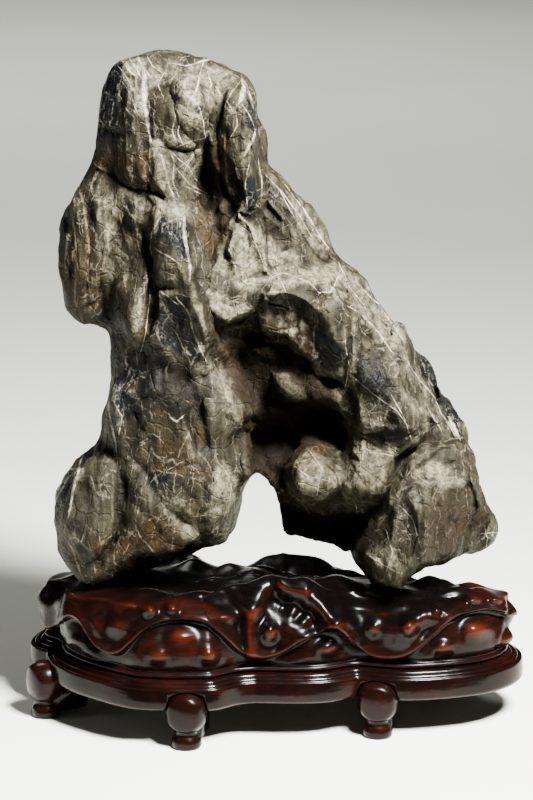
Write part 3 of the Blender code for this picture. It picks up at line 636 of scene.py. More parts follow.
# ---------------------------------------------------------------- the stone's veins
# Width px and line of pixels
WHITE_VEINS = [
    (7, [(145, 74), (145, 91), (144, 104)]), (5, [(144, 100), (147, 118), (149, 130)]),
    (2.6, [(148, 126), (150, 140), (150, 156), (151, 176)]),
    (6, [(242, 76), (245, 86), (242, 96), (240, 102)]), (3, [(246, 84), (251, 98), (253, 108)]),
    (3, [(255, 130), (252, 142), (246, 152), (242, 164)]),
    (2, [(203, 60), (200, 74), (197, 88), (193, 98)]), (2, [(198, 62), (208, 60), (214, 60)]),
    (1.4, [(178, 86), (187, 96), (197, 102), (203, 122), (206, 142)]),
    (1.4, [(172, 96), (176, 112), (172, 130), (176, 142)]),
    (1.4, [(173, 104), (180, 116), (178, 134), (184, 146)]),
    (3, [(160, 148), (164, 166), (168, 184), (174, 196)]),
    (2, [(168, 146), (174, 160), (172, 180), (178, 194)]),
    (1.4, [(170, 150), (180, 160), (190, 168), (200, 186)]),
    (1.2, [(174, 170), (188, 162), (196, 150)]), (1.2, [(172, 150), (186, 144), (206, 138)]),
    (1.2, [(184, 172), (196, 152), (192, 140)]), (1.2, [(176, 168), (190, 184), (202, 192)]),
    (1.2, [(186, 186), (204, 196), (216, 198)]),
    (3.5, [(185, 206), (184, 226), (186, 246), (189, 262), (190, 280)]),
    (1.5, [(160, 216), (152, 232), (150, 246), (155, 262)]),
    (1.6, [(155, 248), (166, 256), (178, 264)]), (1.6, [(158, 290), (168, 296), (178, 304)]),
    (2.2, [(178, 298), (188, 312), (192, 330), (206, 362)]),
    (2.5, [(106, 392), (108, 412), (112, 430), (117, 446), (118, 462)]),
    (1.6, [(113, 400), (122, 416), (118, 436)]), (3, [(84, 454), (77, 474), (73, 493), (69, 517)]),
    (1.4, [(147, 274), (150, 296), (146, 330), (140, 352)]),
    (2, [(166, 412), (176, 422), (185, 414)]),
    (1.2, [(218, 462), (226, 470), (231, 486), (230, 498)]),
    (1.6, [(262, 289), (271, 278), (282, 273), (294, 276), (310, 283), (319, 293), (331, 292),
     (338, 278), (347, 274)]), (1.2, [(270, 262), (280, 280), (288, 300), (294, 316)]),
    (1.2, [(248, 222), (256, 244), (264, 268), (280, 276)]),
    (1.6, [(347, 305), (359, 312), (375, 328), (392, 352)]),
    (1.4, [(405, 358), (422, 383), (435, 398), (444, 420)]),
    (1.2, [(392, 394), (405, 420), (412, 440)]), (1.4, [(425, 403), (442, 432)]),
    (5, [(450, 418), (455, 428), (459, 437)]), (2, [(440, 412), (450, 424), (456, 436)]),
    (1.4, [(344, 328), (346, 346), (350, 366), (344, 388)]),
    (1.2, [(352, 376), (372, 392), (396, 410), (410, 428)]),
    (1.2, [(300, 204), (318, 232), (330, 250)]), (1.2, [(276, 186), (298, 212), (312, 236)]),
    (1.4, [(284, 184), (306, 212), (324, 242)]), (1.2, [(264, 172), (280, 192), (300, 224)]),
    (1.2, [(338, 262), (352, 290), (364, 306)]), (1.2, [(360, 284), (384, 312), (404, 340)]),
    (1.3, [(484, 528), (488, 538), (486, 548)]), (1.3, [(494, 526), (492, 536), (498, 542)]),
    (1.2, [(480, 534), (492, 532), (502, 534)]), (1.6, [(354, 500), (360, 530), (352, 550)]),
    (1.2, [(386, 530), (392, 552), (386, 574)]), (1.2, [(370, 556), (384, 566), (396, 572)]),
    (1.2, [(400, 506), (412, 520), (420, 544)]), (1.2, [(310, 452), (322, 470), (318, 494)]),
    (1.2, [(294, 466), (310, 478), (330, 482)]), (1.2, [(352, 440), (372, 452), (392, 456)]),
    (1.6, [(122, 60), (128, 70), (138, 78)]), (1.6, [(129, 57), (136, 68), (143, 80)]),
    (1.6, [(138, 56), (142, 66), (150, 76)]), (1.4, [(118, 66), (128, 80), (134, 92)]),
    (1.6, [(120, 96), (126, 108), (134, 116)]), (1.2, [(124, 84), (132, 96), (138, 112)]),
    (1.2, [(146, 54), (152, 66), (162, 72)]), (1.2, [(164, 72), (158, 84), (162, 96)]),
    (1.2, [(170, 62), (186, 66), (200, 62)]), (1.4, [(206, 66), (212, 84), (208, 102)]),
    (1.4, [(214, 84), (224, 98), (232, 110)]), (1.2, [(238, 84), (230, 96), (222, 112)]),
    (1.4, [(236, 114), (238, 126), (230, 138)]), (1.2, [(242, 104), (250, 116), (254, 128)]),
    (1.4, [(250, 164), (246, 186), (247, 206)]), (1.2, [(258, 160), (262, 180), (262, 198)])]
TAN_VEINS = [
    (2.6, [(225, 130), (224, 146), (226, 164), (228, 180), (234, 206)]),
    (1.6, [(234, 118), (234, 142), (240, 156), (243, 163)]),
    (2.6, [(75, 189), (74, 205), (73, 221), (75, 240), (76, 252)]),
    (4.5, [(73, 250), (73, 258), (74, 266)]), (2.6, [(74, 266), (75, 284), (76, 304)]),
    (3.4, [(76, 300), (79, 310), (82, 320)]),
    (3, [(81, 192), (84, 210), (87, 230), (90, 250), (88, 262)]),
    (1.6, [(88, 262), (87, 280), (90, 292)]),
    (1.4, [(142, 212), (138, 226), (136, 240), (141, 252)]),
    (1.4, [(146, 272), (148, 290), (150, 304)]),
    (3, [(69, 515), (65, 532), (72, 549), (78, 565), (83, 578)]),
    (1.6, [(164, 358), (170, 362), (166, 370), (168, 378)]), (1.4, [(184, 400), (192, 404)]),
    (1.4, [(129, 543), (124, 553)]), (2, [(416, 470), (430, 474), (446, 470)]),
    (1.6, [(438, 488), (432, 500), (436, 512)]), (1.4, [(404, 376), (408, 392), (414, 400)]),
    (1.4, [(330, 366), (336, 382), (334, 400)]), (1.4, [(120, 214), (126, 240), (122, 262)])]
WHITE_CHANNELS, TAN_CHANNELS = 5, 2
VEIN_WIDTH = 0.8             # drawn width for each pixel of a vein's stated one
NEAR_VEIN = 3.0              # px beyond a vein's edge that count as near it


def spread_lines(lines, channels, apart=9):
    """Deal the lines into channels so that lines in one channel keep apart."""
    dealt = [[] for _ in range(channels)]
    for line in lines:
        here = np.array(line[1], float)
        gaps = []
        for channel in dealt:
            others = [np.abs(along_line(np.array(other[1], float), here)[0]).min()
                      for other in channel]
            gaps.append(min(others, default=99))
        free = next((k for k, gap in enumerate(gaps) if gap > apart), int(np.argmax(gaps)))
        dealt[free].append(line)
    return dealt


def lay_veins(obj, name, channels, places, seen):
    """Store signed distance over half width, and nearness, for each channel of lines."""
    for k, channel in enumerate(channels):
        best = np.full(len(places), np.inf)
        value = np.full(len(places), 9.0)
        near = np.zeros(len(places))
        for width, line in channel:
            width = VEIN_WIDTH * width
            signed, share = along_line(places, line)
            far = np.abs(signed)
            taper = 0.35 + 0.65 * np.sqrt(np.clip(4 * share * (1 - share), 0, 1))
            half = 0.5 * width * taper
            closer = far - half < best
            best = np.where(closer, far - half, best)
            value = np.where(closer, signed / half, value)
            near = np.where(closer, far < half + NEAR_VEIN, near)
        store(obj, f"{name}_line_{k}", value)
        store(obj, f"{name}_near_{k}", near * seen)


def wandering(points, size, seed):
    """A smooth random push for each point, two numbers from -1 to 1."""
    away = Vector((seed, 0, 0))
    return np.array([noise.noise_vector(Vector(p / size) + away)[:2] for p in points])


def vein_stone(stone):
    """Keep on the stone where its veins run, where it is glossy, pale or brown, and where shade is
    painted.
    """
    points = points_of(stone)
    facing = facing_eye(stone, sight_lines(points))
    pixels = to_pixels(points)
    drawn = pixels + 0.5 * wandering(points, 3, 3.0) + 1.6 * wandering(points, 16, 8.0)
    lay_veins(stone, "white", spread_lines(WHITE_VEINS, WHITE_CHANNELS), drawn, facing > 0.02)
    lay_veins(stone, "tan", spread_lines(TAN_VEINS, TAN_CHANNELS), drawn, facing > 0.02)
    drawn = pixels + 5 * wandering(points, 7, 5.0) + 2 * wandering(points, 3, 1.0)
    seen = ramp(facing, -0.15, 0.1)
    for name, areas in (("gloss", GLOSS_AREAS), ("pale", PALE_AREAS), ("shade", PAINTED_SHADE_AREAS),
                        ("brown", BROWN_AREAS)):
        value = np.zeros(len(points))
        for amount, soft, corners in areas:
            cover = amount * ramp(inside(drawn, corners), -soft, soft) * seen
            value = np.maximum(value, cover)
        store(stone, name, value)


# Where the front is glossy black, worn pale, given painted shade, or earthy brown: amount,
# softness px, corner pixels
GLOSS_AREAS = [
    (1.0, 3, [(99, 98), (106, 72), (120, 58), (128, 62), (120, 84), (116, 112), (98, 114)]),
    (0.7, 5, [(96, 112), (116, 112), (122, 140), (92, 142)]),
    (0.3, 4, [(196, 110), (205, 136), (194, 138)]),
    (0.8, 4, [(246, 170), (258, 182), (256, 212), (244, 206)]),
    (0.8, 3, [(248, 98), (256, 110), (258, 132), (245, 128)]),
    (0.8, 4, [(160, 220), (190, 222), (192, 252), (182, 262), (168, 240), (154, 240)]),
    (1.0, 5, [(150, 292), (176, 298), (194, 326), (200, 362), (180, 358), (156, 336)]),
    (0.8, 6, [(114, 376), (130, 384), (140, 412), (118, 420)]),
    (0.5, 6, [(140, 356), (184, 360), (204, 396), (206, 416), (186, 430), (164, 412), (140, 400)]),
    (1.0, 3, [(312, 330), (332, 332), (344, 354), (340, 374), (324, 366), (314, 348)]),
    (0.8, 3, [(54, 486), (70, 462), (76, 460), (64, 510), (60, 544), (52, 530)]),
    (0.8, 3, [(416, 346), (432, 366), (448, 404), (440, 404), (424, 374)]),
    (0.9, 3, [(446, 396), (456, 410), (466, 438), (450, 434)]),
    (0.6, 6, [(58, 206), (70, 200), (72, 230), (60, 240)]),
    (0.8, 5, [(104, 318), (120, 300), (134, 330), (116, 340)]),
    (0.3, 4, [(406, 490), (420, 494), (410, 520), (396, 520)]),
    (0.6, 9, [(356, 360), (390, 370), (396, 408), (360, 404)]),
    (0.5, 6, [(196, 444), (216, 440), (220, 466), (200, 470)]),
    (0.6, 4, [(262, 176), (276, 190), (284, 214), (270, 204)])]
PALE_AREAS = [
    (0.9, 5, [(122, 60), (146, 57), (148, 118), (128, 116)]),
    (0.7, 5, [(160, 64), (206, 66), (214, 108), (196, 92), (172, 86)]),
    (0.8, 5, [(118, 184), (150, 190), (172, 204), (168, 216), (140, 208), (120, 198)]),
    (0.7, 6, [(268, 236), (288, 240), (300, 268), (280, 280), (266, 262)]),
    (0.6, 3, [(186, 300), (198, 306), (208, 338), (202, 344), (190, 324)]),
    (0.9, 5, [(176, 92), (198, 92), (202, 128), (186, 132), (178, 112)]),
    (1.0, 5, [(244, 236), (264, 240), (276, 270), (256, 284), (240, 264)]),
    (0.6, 5, [(206, 470), (232, 476), (236, 500), (216, 508)]),
    (0.5, 5, [(398, 492), (418, 494), (412, 520), (396, 518)]),
    (0.5, 6, [(352, 430), (380, 436), (398, 452), (392, 484), (372, 494), (350, 470)]),
    (0.95, 4, [(238, 210), (262, 232), (282, 264), (270, 280), (256, 292), (232, 284), (214, 268),
     (220, 244), (228, 226)]),
    (0.8, 3, [(208, 290), (232, 298), (258, 310), (240, 322), (222, 318), (211, 306)]),
    (0.85, 5, [(258, 276), (280, 266), (340, 266), (354, 280), (345, 302), (328, 292), (300, 284),
     (272, 294)]), (0.7, 3, [(274, 314), (298, 312), (308, 328), (290, 334), (278, 328)]),
    (0.9, 3, [(271, 372), (284, 374), (300, 386), (306, 398), (296, 403), (282, 391)]),
    (0.55, 5, [(296, 456), (314, 450), (330, 460), (338, 480), (332, 500), (314, 498), (298, 488),
     (291, 470)]),
    (0.75, 4, [(328, 386), (342, 396), (354, 430), (350, 470), (354, 504), (342, 500), (334, 470),
     (340, 430)]),
    (0.7, 5, [(344, 276), (362, 280), (392, 314), (406, 342), (396, 352), (372, 326), (352, 302)]),
    (0.5, 6, [(404, 352), (430, 384), (448, 436), (424, 432), (402, 402), (396, 372)]),
    (0.5, 3, [(184, 304), (200, 320), (212, 350), (230, 374), (242, 402), (236, 420), (224, 402),
     (210, 378), (198, 344)]),
    (0.8, 4, [(222, 460), (236, 476), (238, 502), (224, 512), (206, 518), (214, 490)]),
    (0.6, 5, [(160, 490), (186, 500), (204, 536), (186, 542), (168, 516)]),
    (0.8, 4, [(156, 200), (186, 204), (194, 224), (176, 216), (156, 216)]),
    (0.6, 5, [(96, 194), (114, 198), (114, 246), (102, 240)]),
    (0.5, 6, [(100, 240), (130, 240), (126, 290), (104, 290)]),
    (0.7, 4, [(412, 468), (436, 460), (456, 474), (470, 490), (450, 488), (424, 486)]),
    (0.6, 6, [(366, 548), (396, 540), (412, 560), (396, 582), (380, 570)]),
    (0.7, 5, [(136, 74), (160, 64), (200, 60), (236, 74), (228, 100), (204, 96), (184, 76),
     (150, 90)]), (0.6, 5, [(126, 84), (146, 90), (142, 116), (124, 108)]),
    (0.7, 4, [(154, 140), (168, 140), (180, 190), (178, 208), (160, 188)]),
    (0.5, 6, [(170, 140), (204, 136), (206, 190), (184, 190)]),
    (0.5, 4, [(236, 140), (250, 140), (254, 170), (244, 190)]),
    (0.6, 6, [(286, 190), (300, 196), (330, 240), (330, 262), (306, 246)]),
    (0.6, 5, [(130, 296), (146, 296), (142, 350), (126, 356)]),
    (0.3, 4, [(480, 520), (500, 524), (500, 540), (484, 552)])]
PAINTED_SHADE_AREAS = [
    (0.45, 9, [(356, 360), (390, 370), (396, 408), (360, 404)]),
    (0.6, 8, [(142, 356), (184, 358), (204, 396), (196, 420), (166, 412), (142, 400)]),
    (0.45, 6, [(152, 292), (176, 298), (192, 326), (196, 356), (176, 350), (156, 330)]),
    (0.4, 10, [(150, 150), (200, 150), (204, 190), (170, 200)]),
    (0.25, 10, [(380, 480), (500, 480), (502, 556), (400, 590), (370, 560)]),
    (0.3, 6, [(296, 456), (314, 450), (334, 462), (334, 500), (300, 490)]),
    (0.35, 7, [(226, 112), (244, 120), (250, 180), (236, 196), (228, 160)]),
    (0.3, 10, [(346, 456), (386, 462), (380, 500), (350, 500)]),
    (0.78, 9, [(234, 332), (262, 340), (294, 350), (314, 378), (342, 386), (344, 412), (336, 436),
     (312, 448), (296, 454), (288, 476), (272, 484), (255, 474), (246, 470), (244, 440),
     (238, 400), (226, 368), (214, 342)]),
    (0.9, 6, [(262, 406), (300, 402), (344, 396), (342, 430), (312, 446), (294, 454), (284, 476),
     (268, 466), (256, 440)]),
    (1.0, 5, [(282, 500), (300, 516), (352, 514), (366, 522), (352, 554), (330, 550), (280, 534),
     (276, 510)]), (0.6, 5, [(230, 332), (262, 338), (268, 346), (250, 352), (232, 346)]),
    (0.5, 6, [(204, 134), (217, 146), (224, 196), (238, 224), (226, 252), (210, 240), (206, 200)]),
    (0.45, 4, [(94, 170), (120, 182), (146, 196), (130, 200), (110, 190)]),
    (0.7, 5, [(104, 300), (126, 286), (134, 330), (116, 348), (104, 326)]),
    (1.0, 7, [(250, 438), (284, 434), (296, 456), (284, 490), (270, 480), (254, 470)]),
    (0.6, 6, [(308, 380), (342, 384), (342, 404), (312, 400)]),
    (0.35, 8, [(430, 496), (480, 500), (494, 530), (470, 552), (432, 558)]),
    (0.6, 9, [(70, 480), (90, 474), (104, 510), (90, 540), (70, 530)]),
    (0.6, 3, [(464, 434), (440, 435), (412, 448), (398, 472), (380, 514), (368, 520), (384, 484),
     (398, 456), (414, 440), (438, 430)]),
    (1.0, 4, [(350, 516), (376, 512), (380, 528), (364, 554), (346, 550)]),
    (0.8, 4, [(128, 552), (184, 548), (210, 534), (204, 546), (150, 564), (130, 576)]),
    (0.6, 4, [(192, 284), (206, 300), (216, 330), (228, 350), (224, 362), (208, 334)]),
    (0.7, 3, [(202, 330), (232, 330), (226, 344), (208, 344)]),
    (0.5, 3, [(186, 134), (206, 130), (204, 142), (188, 144)]),
    (0.7, 3, [(264, 214), (276, 224), (290, 252), (280, 254), (270, 238)]),
    (0.5, 4, [(364, 328), (376, 332), (382, 356), (368, 352)])]
BROWN_AREAS = [
    (1.0, 12, [(214, 330), (300, 320), (340, 384), (340, 440), (290, 500), (250, 470),
     (234, 400)]), (0.8, 8, [(200, 140), (228, 140), (236, 230), (210, 260), (190, 230)]),
    (0.8, 6, [(96, 150), (150, 150), (170, 206), (130, 190), (92, 176)]),
    (0.6, 8, [(84, 230), (130, 250), (120, 310), (70, 316), (62, 280)]),
    (0.6, 10, [(410, 500), (480, 480), (500, 530), (430, 562)]),
    (0.7, 6, [(124, 300), (148, 300), (146, 380), (118, 384)]),
    (0.7, 10, [(90, 540), (200, 500), (206, 540), (150, 572), (96, 580)]),
    (0.6, 8, [(150, 400), (210, 420), (216, 480), (160, 480)]),
    (0.7, 6, [(276, 486), (352, 520), (346, 552), (280, 536)]),
    (0.5, 6, [(354, 440), (400, 446), (390, 500), (360, 500)])]


# ---------------------------------------------------------------- materials
SLATE_DARK, SLATE = (0.0078, 0.0070, 0.0042), (0.031, 0.0274, 0.0158)
BROWN_DARK, BROWN = (0.0105, 0.0064, 0.0026), (0.032, 0.0200, 0.0084)
DUST, DUST_PALE = (0.057, 0.0512, 0.0302), (0.22, 0.202, 0.131)
BLUE_BLACK = (0.0036, 0.0042, 0.0048)
HAIRLINE = (0.21, 0.185, 0.130)
WHITE_VEIN, TAN_VEIN = (0.38, 0.33, 0.245), (0.17, 0.115, 0.062)
# Painted shade colours: the first darkens creases and recesses, the second the painted shade areas
CREVICE_PAINTED_SHADE, PAINTED_SHADE_COLOUR = (0.0042, 0.0028, 0.0015), (0.0042, 0.0029, 0.0015)
STONE_SPECULAR, LACQUER_SPECULAR = 0.07, 0.10
# Each lacquer's dark and red colours, the red of painted light on its high spots, and its polish
CARVED_LACQUER = ((0.0026, 0.0010, 0.0007), (0.0120, 0.0020, 0.0011),
                  (0.040, 0.0054, 0.0020), 0.19)
PLINTH_LACQUER = ((0.0018, 0.0009, 0.0007), (0.0095, 0.0017, 0.0010),
                  (0.022, 0.0032, 0.0014), 0.13)
FOOT_LACQUER = ((0.0028, 0.0010, 0.0007), (0.0095, 0.0018, 0.0010),
                (0.022, 0.0032, 0.0014), 0.18)
# Near-black of the painted shade in the lacquer's hollows and on the top under the stone
LACQUER_PAINTED_SHADE = (0.0010, 0.0006, 0.0005)
PAPER, PAPER_PALE = (0.80, 0.81, 0.70), (0.83, 0.84, 0.73)


class Look:
    """A material being put together from procedural parts."""

    def __init__(self, name):
        self.material = bpy.data.materials.new(name)
        self.material.use_nodes = True
        self.tree = self.material.node_tree
        self.surface = self.tree.nodes["Principled BSDF"]
        self.place = self.add("ShaderNodeTexCoord").outputs["Object"]

    def add(self, kind, **settings):
        node = self.tree.nodes.new(kind)
        for name, value in settings.items():
            setattr(node, name, value)
        return node

    def join(self, source, socket):
        if isinstance(source, bpy.types.NodeSocket):
            self.tree.links.new(source, socket)
        elif isinstance(source, tuple) and len(source) == 3 and socket.type == "RGBA":
            socket.default_value = (*source, 1)
        else:
            socket.default_value = source

    def kept(self, name):
        return self.add("ShaderNodeAttribute", attribute_name=name).outputs["Fac"]

    def sum(self, operation, a, b=0.0, c=None):
        node = self.add("ShaderNodeMath", operation=operation)
        self.join(a, node.inputs[0])
        self.join(b, node.inputs[1])
        if c is not None:
            self.join(c, node.inputs[2])
        return node.outputs[0]

    def ease(self, value, low, high, start=0.0, end=1.0):
        node = self.add("ShaderNodeMapRange", interpolation_type="SMOOTHSTEP")
        for source, socket in zip((value, low, high, start, end), node.inputs):
            self.join(source, socket)
        return node.outputs[0]

    def mix(self, share, a, b):
        node = self.add("ShaderNodeMix", data_type="RGBA")
        self.join(share, node.inputs["Factor"])
        self.join(a, node.inputs[6])
        self.join(b, node.inputs[7])
        return node.outputs[2]

    def stretched(self, scale, turn):
        node = self.add("ShaderNodeMapping")
        node.inputs["Scale"].default_value = scale
        node.inputs["Rotation"].default_value = [math.radians(a) for a in turn]
        self.join(self.place, node.inputs["Vector"])
        return node.outputs[0]

    def noise(self, scale, detail=4.0, rough=0.55, twist=0.0, place=None, colour=False):
        node = self.add("ShaderNodeTexNoise")
        node.inputs["Scale"].default_value = scale
        node.inputs["Detail"].default_value = detail
        node.inputs["Roughness"].default_value = rough
        node.inputs["Distortion"].default_value = twist
        self.join(place or self.place, node.inputs["Vector"])
        return node.outputs["Color" if colour else "Fac"]

    def warped(self, amount, scale, place=None):
        """Coordinates pushed about by a noise."""
        push = self.add("ShaderNodeVectorMath", operation="MULTIPLY_ADD")
        self.join(self.noise(scale, 3.0, colour=True), push.inputs[0])
        push.inputs[1].default_value = (amount, amount, amount)
        self.join(place or self.place, push.inputs[2])
        return push.outputs[0]

    def cracks(self, scale, place):
        node = self.add("ShaderNodeTexVoronoi", feature="DISTANCE_TO_EDGE")
        node.inputs["Scale"].default_value = scale
        self.join(place, node.inputs["Vector"])
        return node.outputs["Distance"]

    def cells(self, scale, place):
        """Distance from the middle of the nearest cell: cupped facets with sharp arrises."""
        node = self.add("ShaderNodeTexVoronoi", feature="F1")
        node.inputs["Scale"].default_value = scale
        self.join(self.warped(0.008, 45, place), node.inputs["Vector"])
        return node.outputs["Distance"]

    def bump(self, height, distance, strength=1.0, under=None):
        node = self.add("ShaderNodeBump")
        node.inputs["Strength"].default_value = strength
        node.inputs["Distance"].default_value = distance
        self.join(height, node.inputs["Height"])
        if under is not None:
            self.join(under, node.inputs["Normal"])
        return node.outputs[0]

    def set(self, **values):
        for name, value in values.items():
            self.join(value, self.surface.inputs[name.replace("_", " ")])


def vein_mask(look, name, count, ragged):
    """Where any line of the named group runs, 0 to 1."""
    total = None
    for k in range(count):
        across = look.sum("ABSOLUTE", look.kept(f"{name}_line_{k}"))
        across = look.sum("ADD", across, ragged)
        line = look.ease(across, 1.3, 0.6)
        here = look.sum("MULTIPLY", line, look.ease(look.kept(f"{name}_near_{k}"), 0.4, 0.6))
        total = here if total is None else look.sum("MAXIMUM", total, here)
    return total


def hairlines(look, scale, stretch, turn, thin, cover, low):
    """Fine straight-sided light veins, the edges of drawn-out cells, in patches."""
    place = look.stretched(stretch, turn)
    bent = look.warped(0.006, 70, place)
    line = look.ease(look.cracks(scale, bent), thin, 0.2 * thin)
    return look.sum("MULTIPLY", line, look.ease(cover, low, low + 0.1))


def stone_look():
    look = Look("stone")
    edge = look.kept("edge")
    hollow = look.kept("hollow")
    pale = look.kept("pale")
    shade = look.kept("shade")
    cloud = look.noise(24, 4, 0.6)
    patch = look.noise(75, 5, 0.62)
    fine = look.noise(380, 5, 0.68)
    streak = look.noise(110, 4, 0.6, 0.3, look.stretched((1.8, 1.0, 0.30), (0, 18, 0)))
    warp = look.warped(0.010, 60)

    slate = look.mix(look.ease(streak, 0.34, 0.70), SLATE_DARK, SLATE)
    brown = look.mix(look.ease(fine, 0.32, 0.68), BROWN_DARK, BROWN)
    earthy = look.sum("ADD", look.kept("brown"), look.ease(cloud, 0.50, 0.72, 0.0, 0.5))
    earthy = look.sum("MULTIPLY", earthy, look.ease(patch, 0.28, 0.58, 0.4, 1.0))
    colour = look.mix(look.ease(earthy, 0.05, 0.95), slate, brown)

    worn = look.sum("ADD", pale, look.ease(edge, -0.12, -0.8, 0.0, 0.34))
    worn = look.sum("ADD", worn, look.ease(cloud, 0.44, 0.28, 0.0, 0.25))
    worn = look.sum("MULTIPLY", worn, look.ease(streak, 0.28, 0.64, 0.35, 1.0))
    dust = look.mix(look.ease(fine, 0.36, 0.64), DUST, DUST_PALE)
    colour = look.mix(look.ease(worn, 0.05, 1.05, 0, 0.9), colour, dust)

    black = look.sum("ADD", look.kept("gloss"), look.ease(look.noise(26, 3, 0.55, 0.3), 0.58, 0.74))
    black = look.sum("SUBTRACT", black, look.sum("MULTIPLY", pale, 0.6))
    black = look.sum("MULTIPLY", black, look.ease(streak, 0.30, 0.60, 0.55, 1.0))
    black = look.ease(black, 0.10, 0.66, 0.0, 0.96)
    colour = look.mix(black, colour, BLUE_BLACK)

    lines = hairlines(look, 40, (1.0, 1.0, 0.30), (0, 14, 0), 0.022, cloud, 0.42)
    for scale, stretch, turn, thin, low in (
            (46, (1.0, 0.7, 0.22), (0, -34, 20), 0.020, 0.47),
            (34, (0.25, 1.0, 1.0), (10, 28, 0), 0.016, 0.50),
            (85, (1.0, 1.0, 0.35), (25, 60, 0), 0.024, 0.46)):
        more = hairlines(look, scale, stretch, turn, thin, patch, low)
        lines = look.sum("MAXIMUM", lines, more)
    net = look.ease(look.cracks(85, warp), 0.024, 0.005)
    net = look.sum("MULTIPLY", net, look.ease(cloud, 0.50, 0.42))
    lines = look.sum("MAXIMUM", lines, net)
    lines = look.sum("MULTIPLY", lines, look.ease(fine, 0.38, 0.58))
    # Hairlines fade where shade is painted
    lines = look.sum("MULTIPLY", lines, look.ease(shade, 0.7, 0.1, 0.15, 1.0))
    colour = look.mix(look.sum("MULTIPLY", lines, 0.5), colour, HAIRLINE)

    ragged = look.sum("MULTIPLY_ADD", look.noise(420, 4, 0.7), 2.2, -1.1)
    white = vein_mask(look, "white", WHITE_CHANNELS, ragged)
    tan = vein_mask(look, "tan", TAN_CHANNELS, ragged)
    patchy = look.ease(look.noise(150, 4, 0.6), 0.36, 0.64, 0.10, 1.0)
    colour = look.mix(look.sum("MULTIPLY", white, patchy), colour, WHITE_VEIN)
    colour = look.mix(look.sum("MULTIPLY", tan, patchy), colour, TAN_VEIN)

    # Painted shade: creases and recesses, below their surroundings, are darkened towards a
    # near-black brown
    crevice_shade_mix = look.ease(look.sum("ADD", edge, look.sum("MULTIPLY", hollow, 0.12)), 0.10, 0.9, 0, 0.8)
    colour = look.mix(crevice_shade_mix, colour, CREVICE_PAINTED_SHADE)
    # Painted shade: the shade areas darken the colour almost to a black brown
    colour = look.mix(look.sum("MULTIPLY", shade, 0.95), colour, PAINTED_SHADE_COLOUR)

    rough = look.ease(fine, 0.3, 0.7, 0.36, 0.58)
    rough = look.sum("MULTIPLY_ADD", black, -0.30, rough)
    rough = look.sum("MULTIPLY_ADD", shade, 0.25, rough)
    facets = look.sum("MULTIPLY", look.cells(62, look.stretched((1.2, 1.0, 0.6), (0, 16, 0))), 0.7)
    relief = look.sum("MULTIPLY_ADD", streak, 0.5, facets)
    relief = look.sum("MULTIPLY_ADD", look.noise(230, 5, 0.62), 0.35, relief)
    normal = look.bump(relief, 0.0026, 0.8)
    normal = look.bump(look.ease(look.cracks(70, warp), 0.0, 0.05), 0.0007, 0.7, normal)
    normal = look.bump(fine, 0.0010, 0.9, normal)
    normal = look.bump(look.sum("MAXIMUM", lines, white), 0.0004, 0.7, normal)
    look.set(Base_Color=colour, Roughness=rough, Normal=normal)
    look.surface.inputs["Specular IOR Level"].default_value = STONE_SPECULAR
    return look.material


def lacquer_look(name, dark, red, painted_light_red, polish):
    """Glossy mahogany lacquer: painted light in red on the high spots, painted shade in black in
    the hollows and on the top under the stone.
    """
    look = Look(name)
    edge = look.kept("edge")
    hollow = look.kept("hollow")
    painted_stone_shadow = look.kept("painted_stone_shadow")
    grain = look.noise(60, 4, 0.6, 0.6, look.stretched((1.0, 1.0, 5.0), (0, 8, 12)))
    cloud = look.noise(34, 4, 0.6)
    streak = look.noise(220, 3, 0.6, 0.2, look.stretched((0.35, 0.35, 2.2), (0, 0, 10)))
    shade = look.sum("MULTIPLY", look.ease(grain, 0.30, 0.75), look.ease(cloud, 0.36, 0.66))
    colour = look.mix(shade, dark, red)
    # Painted light: convex high spots take a bright red, less on the top under the stone
    high = look.ease(hollow, -0.2, -3.2)
    high = look.sum("MULTIPLY", high, look.ease(streak, 0.25, 0.70, 0.45, 1.0))
    high = look.sum("MULTIPLY", high, look.ease(painted_stone_shadow, 0.6, 0.0))
    colour = look.mix(high, colour, painted_light_red)
    # Painted shade: hollows, creases and the top under the stone are darkened to near black
    sunk = look.sum("ADD", look.ease(edge, 0.05, 0.7), look.ease(hollow, 0.4, 3.0))
    sunk = look.sum("MULTIPLY_ADD", painted_stone_shadow, 1.1, sunk)
    colour = look.mix(look.ease(sunk, 0.0, 1.1), colour, LACQUER_PAINTED_SHADE)
    rough = look.ease(streak, 0.3, 0.7, polish, 1.6 * polish)
    normal = look.bump(look.noise(70, 3, 0.5), 0.0012, 0.25)
    normal = look.bump(streak, 0.0002, 0.3, normal)
    look.set(Base_Color=colour, Roughness=rough, Normal=normal)
    look.surface.inputs["Specular IOR Level"].default_value = LACQUER_SPECULAR
    return look.material


# ---------------------------------------------------------------- the stand's form
STAND_STEP = 1.0
PLINTH_BOTTOM = 22
PLINTH_TOP = 38
BODY_BOTTOM = 38.4
WALL_FOOT = 42.1             # height where the wall starts on its foot moulding
STAND_LOBES = [
    [(-126, 34), (-137, 29), (-143, 14), (-144, -3), (-139, -13), (-130, -20)],
    [(-130, -20), (-127, -31), (-121, -42), (-108, -55), (-92, -66), (-78, -74), (-66, -78),
     (-52, -78), (-37, -76), (-21, -72), (-9, -61), (-1, -57)],
    [(-1, -57), (24, -54), (40, -49), (55, -39)],
    [(55, -39), (79, -40), (101, -34), (123, -23), (137, -9), (144, 8), (142, 26), (130, 42),
     (108, 54), (86, 58), (68, 55), (58, 50)],
    [(58, 50), (42, 68), (18, 79), (-8, 80), (-26, 75), (-36, 64)],
    [(-36, 64), (-58, 72), (-84, 70), (-108, 58), (-121, 44), (-126, 34)]]

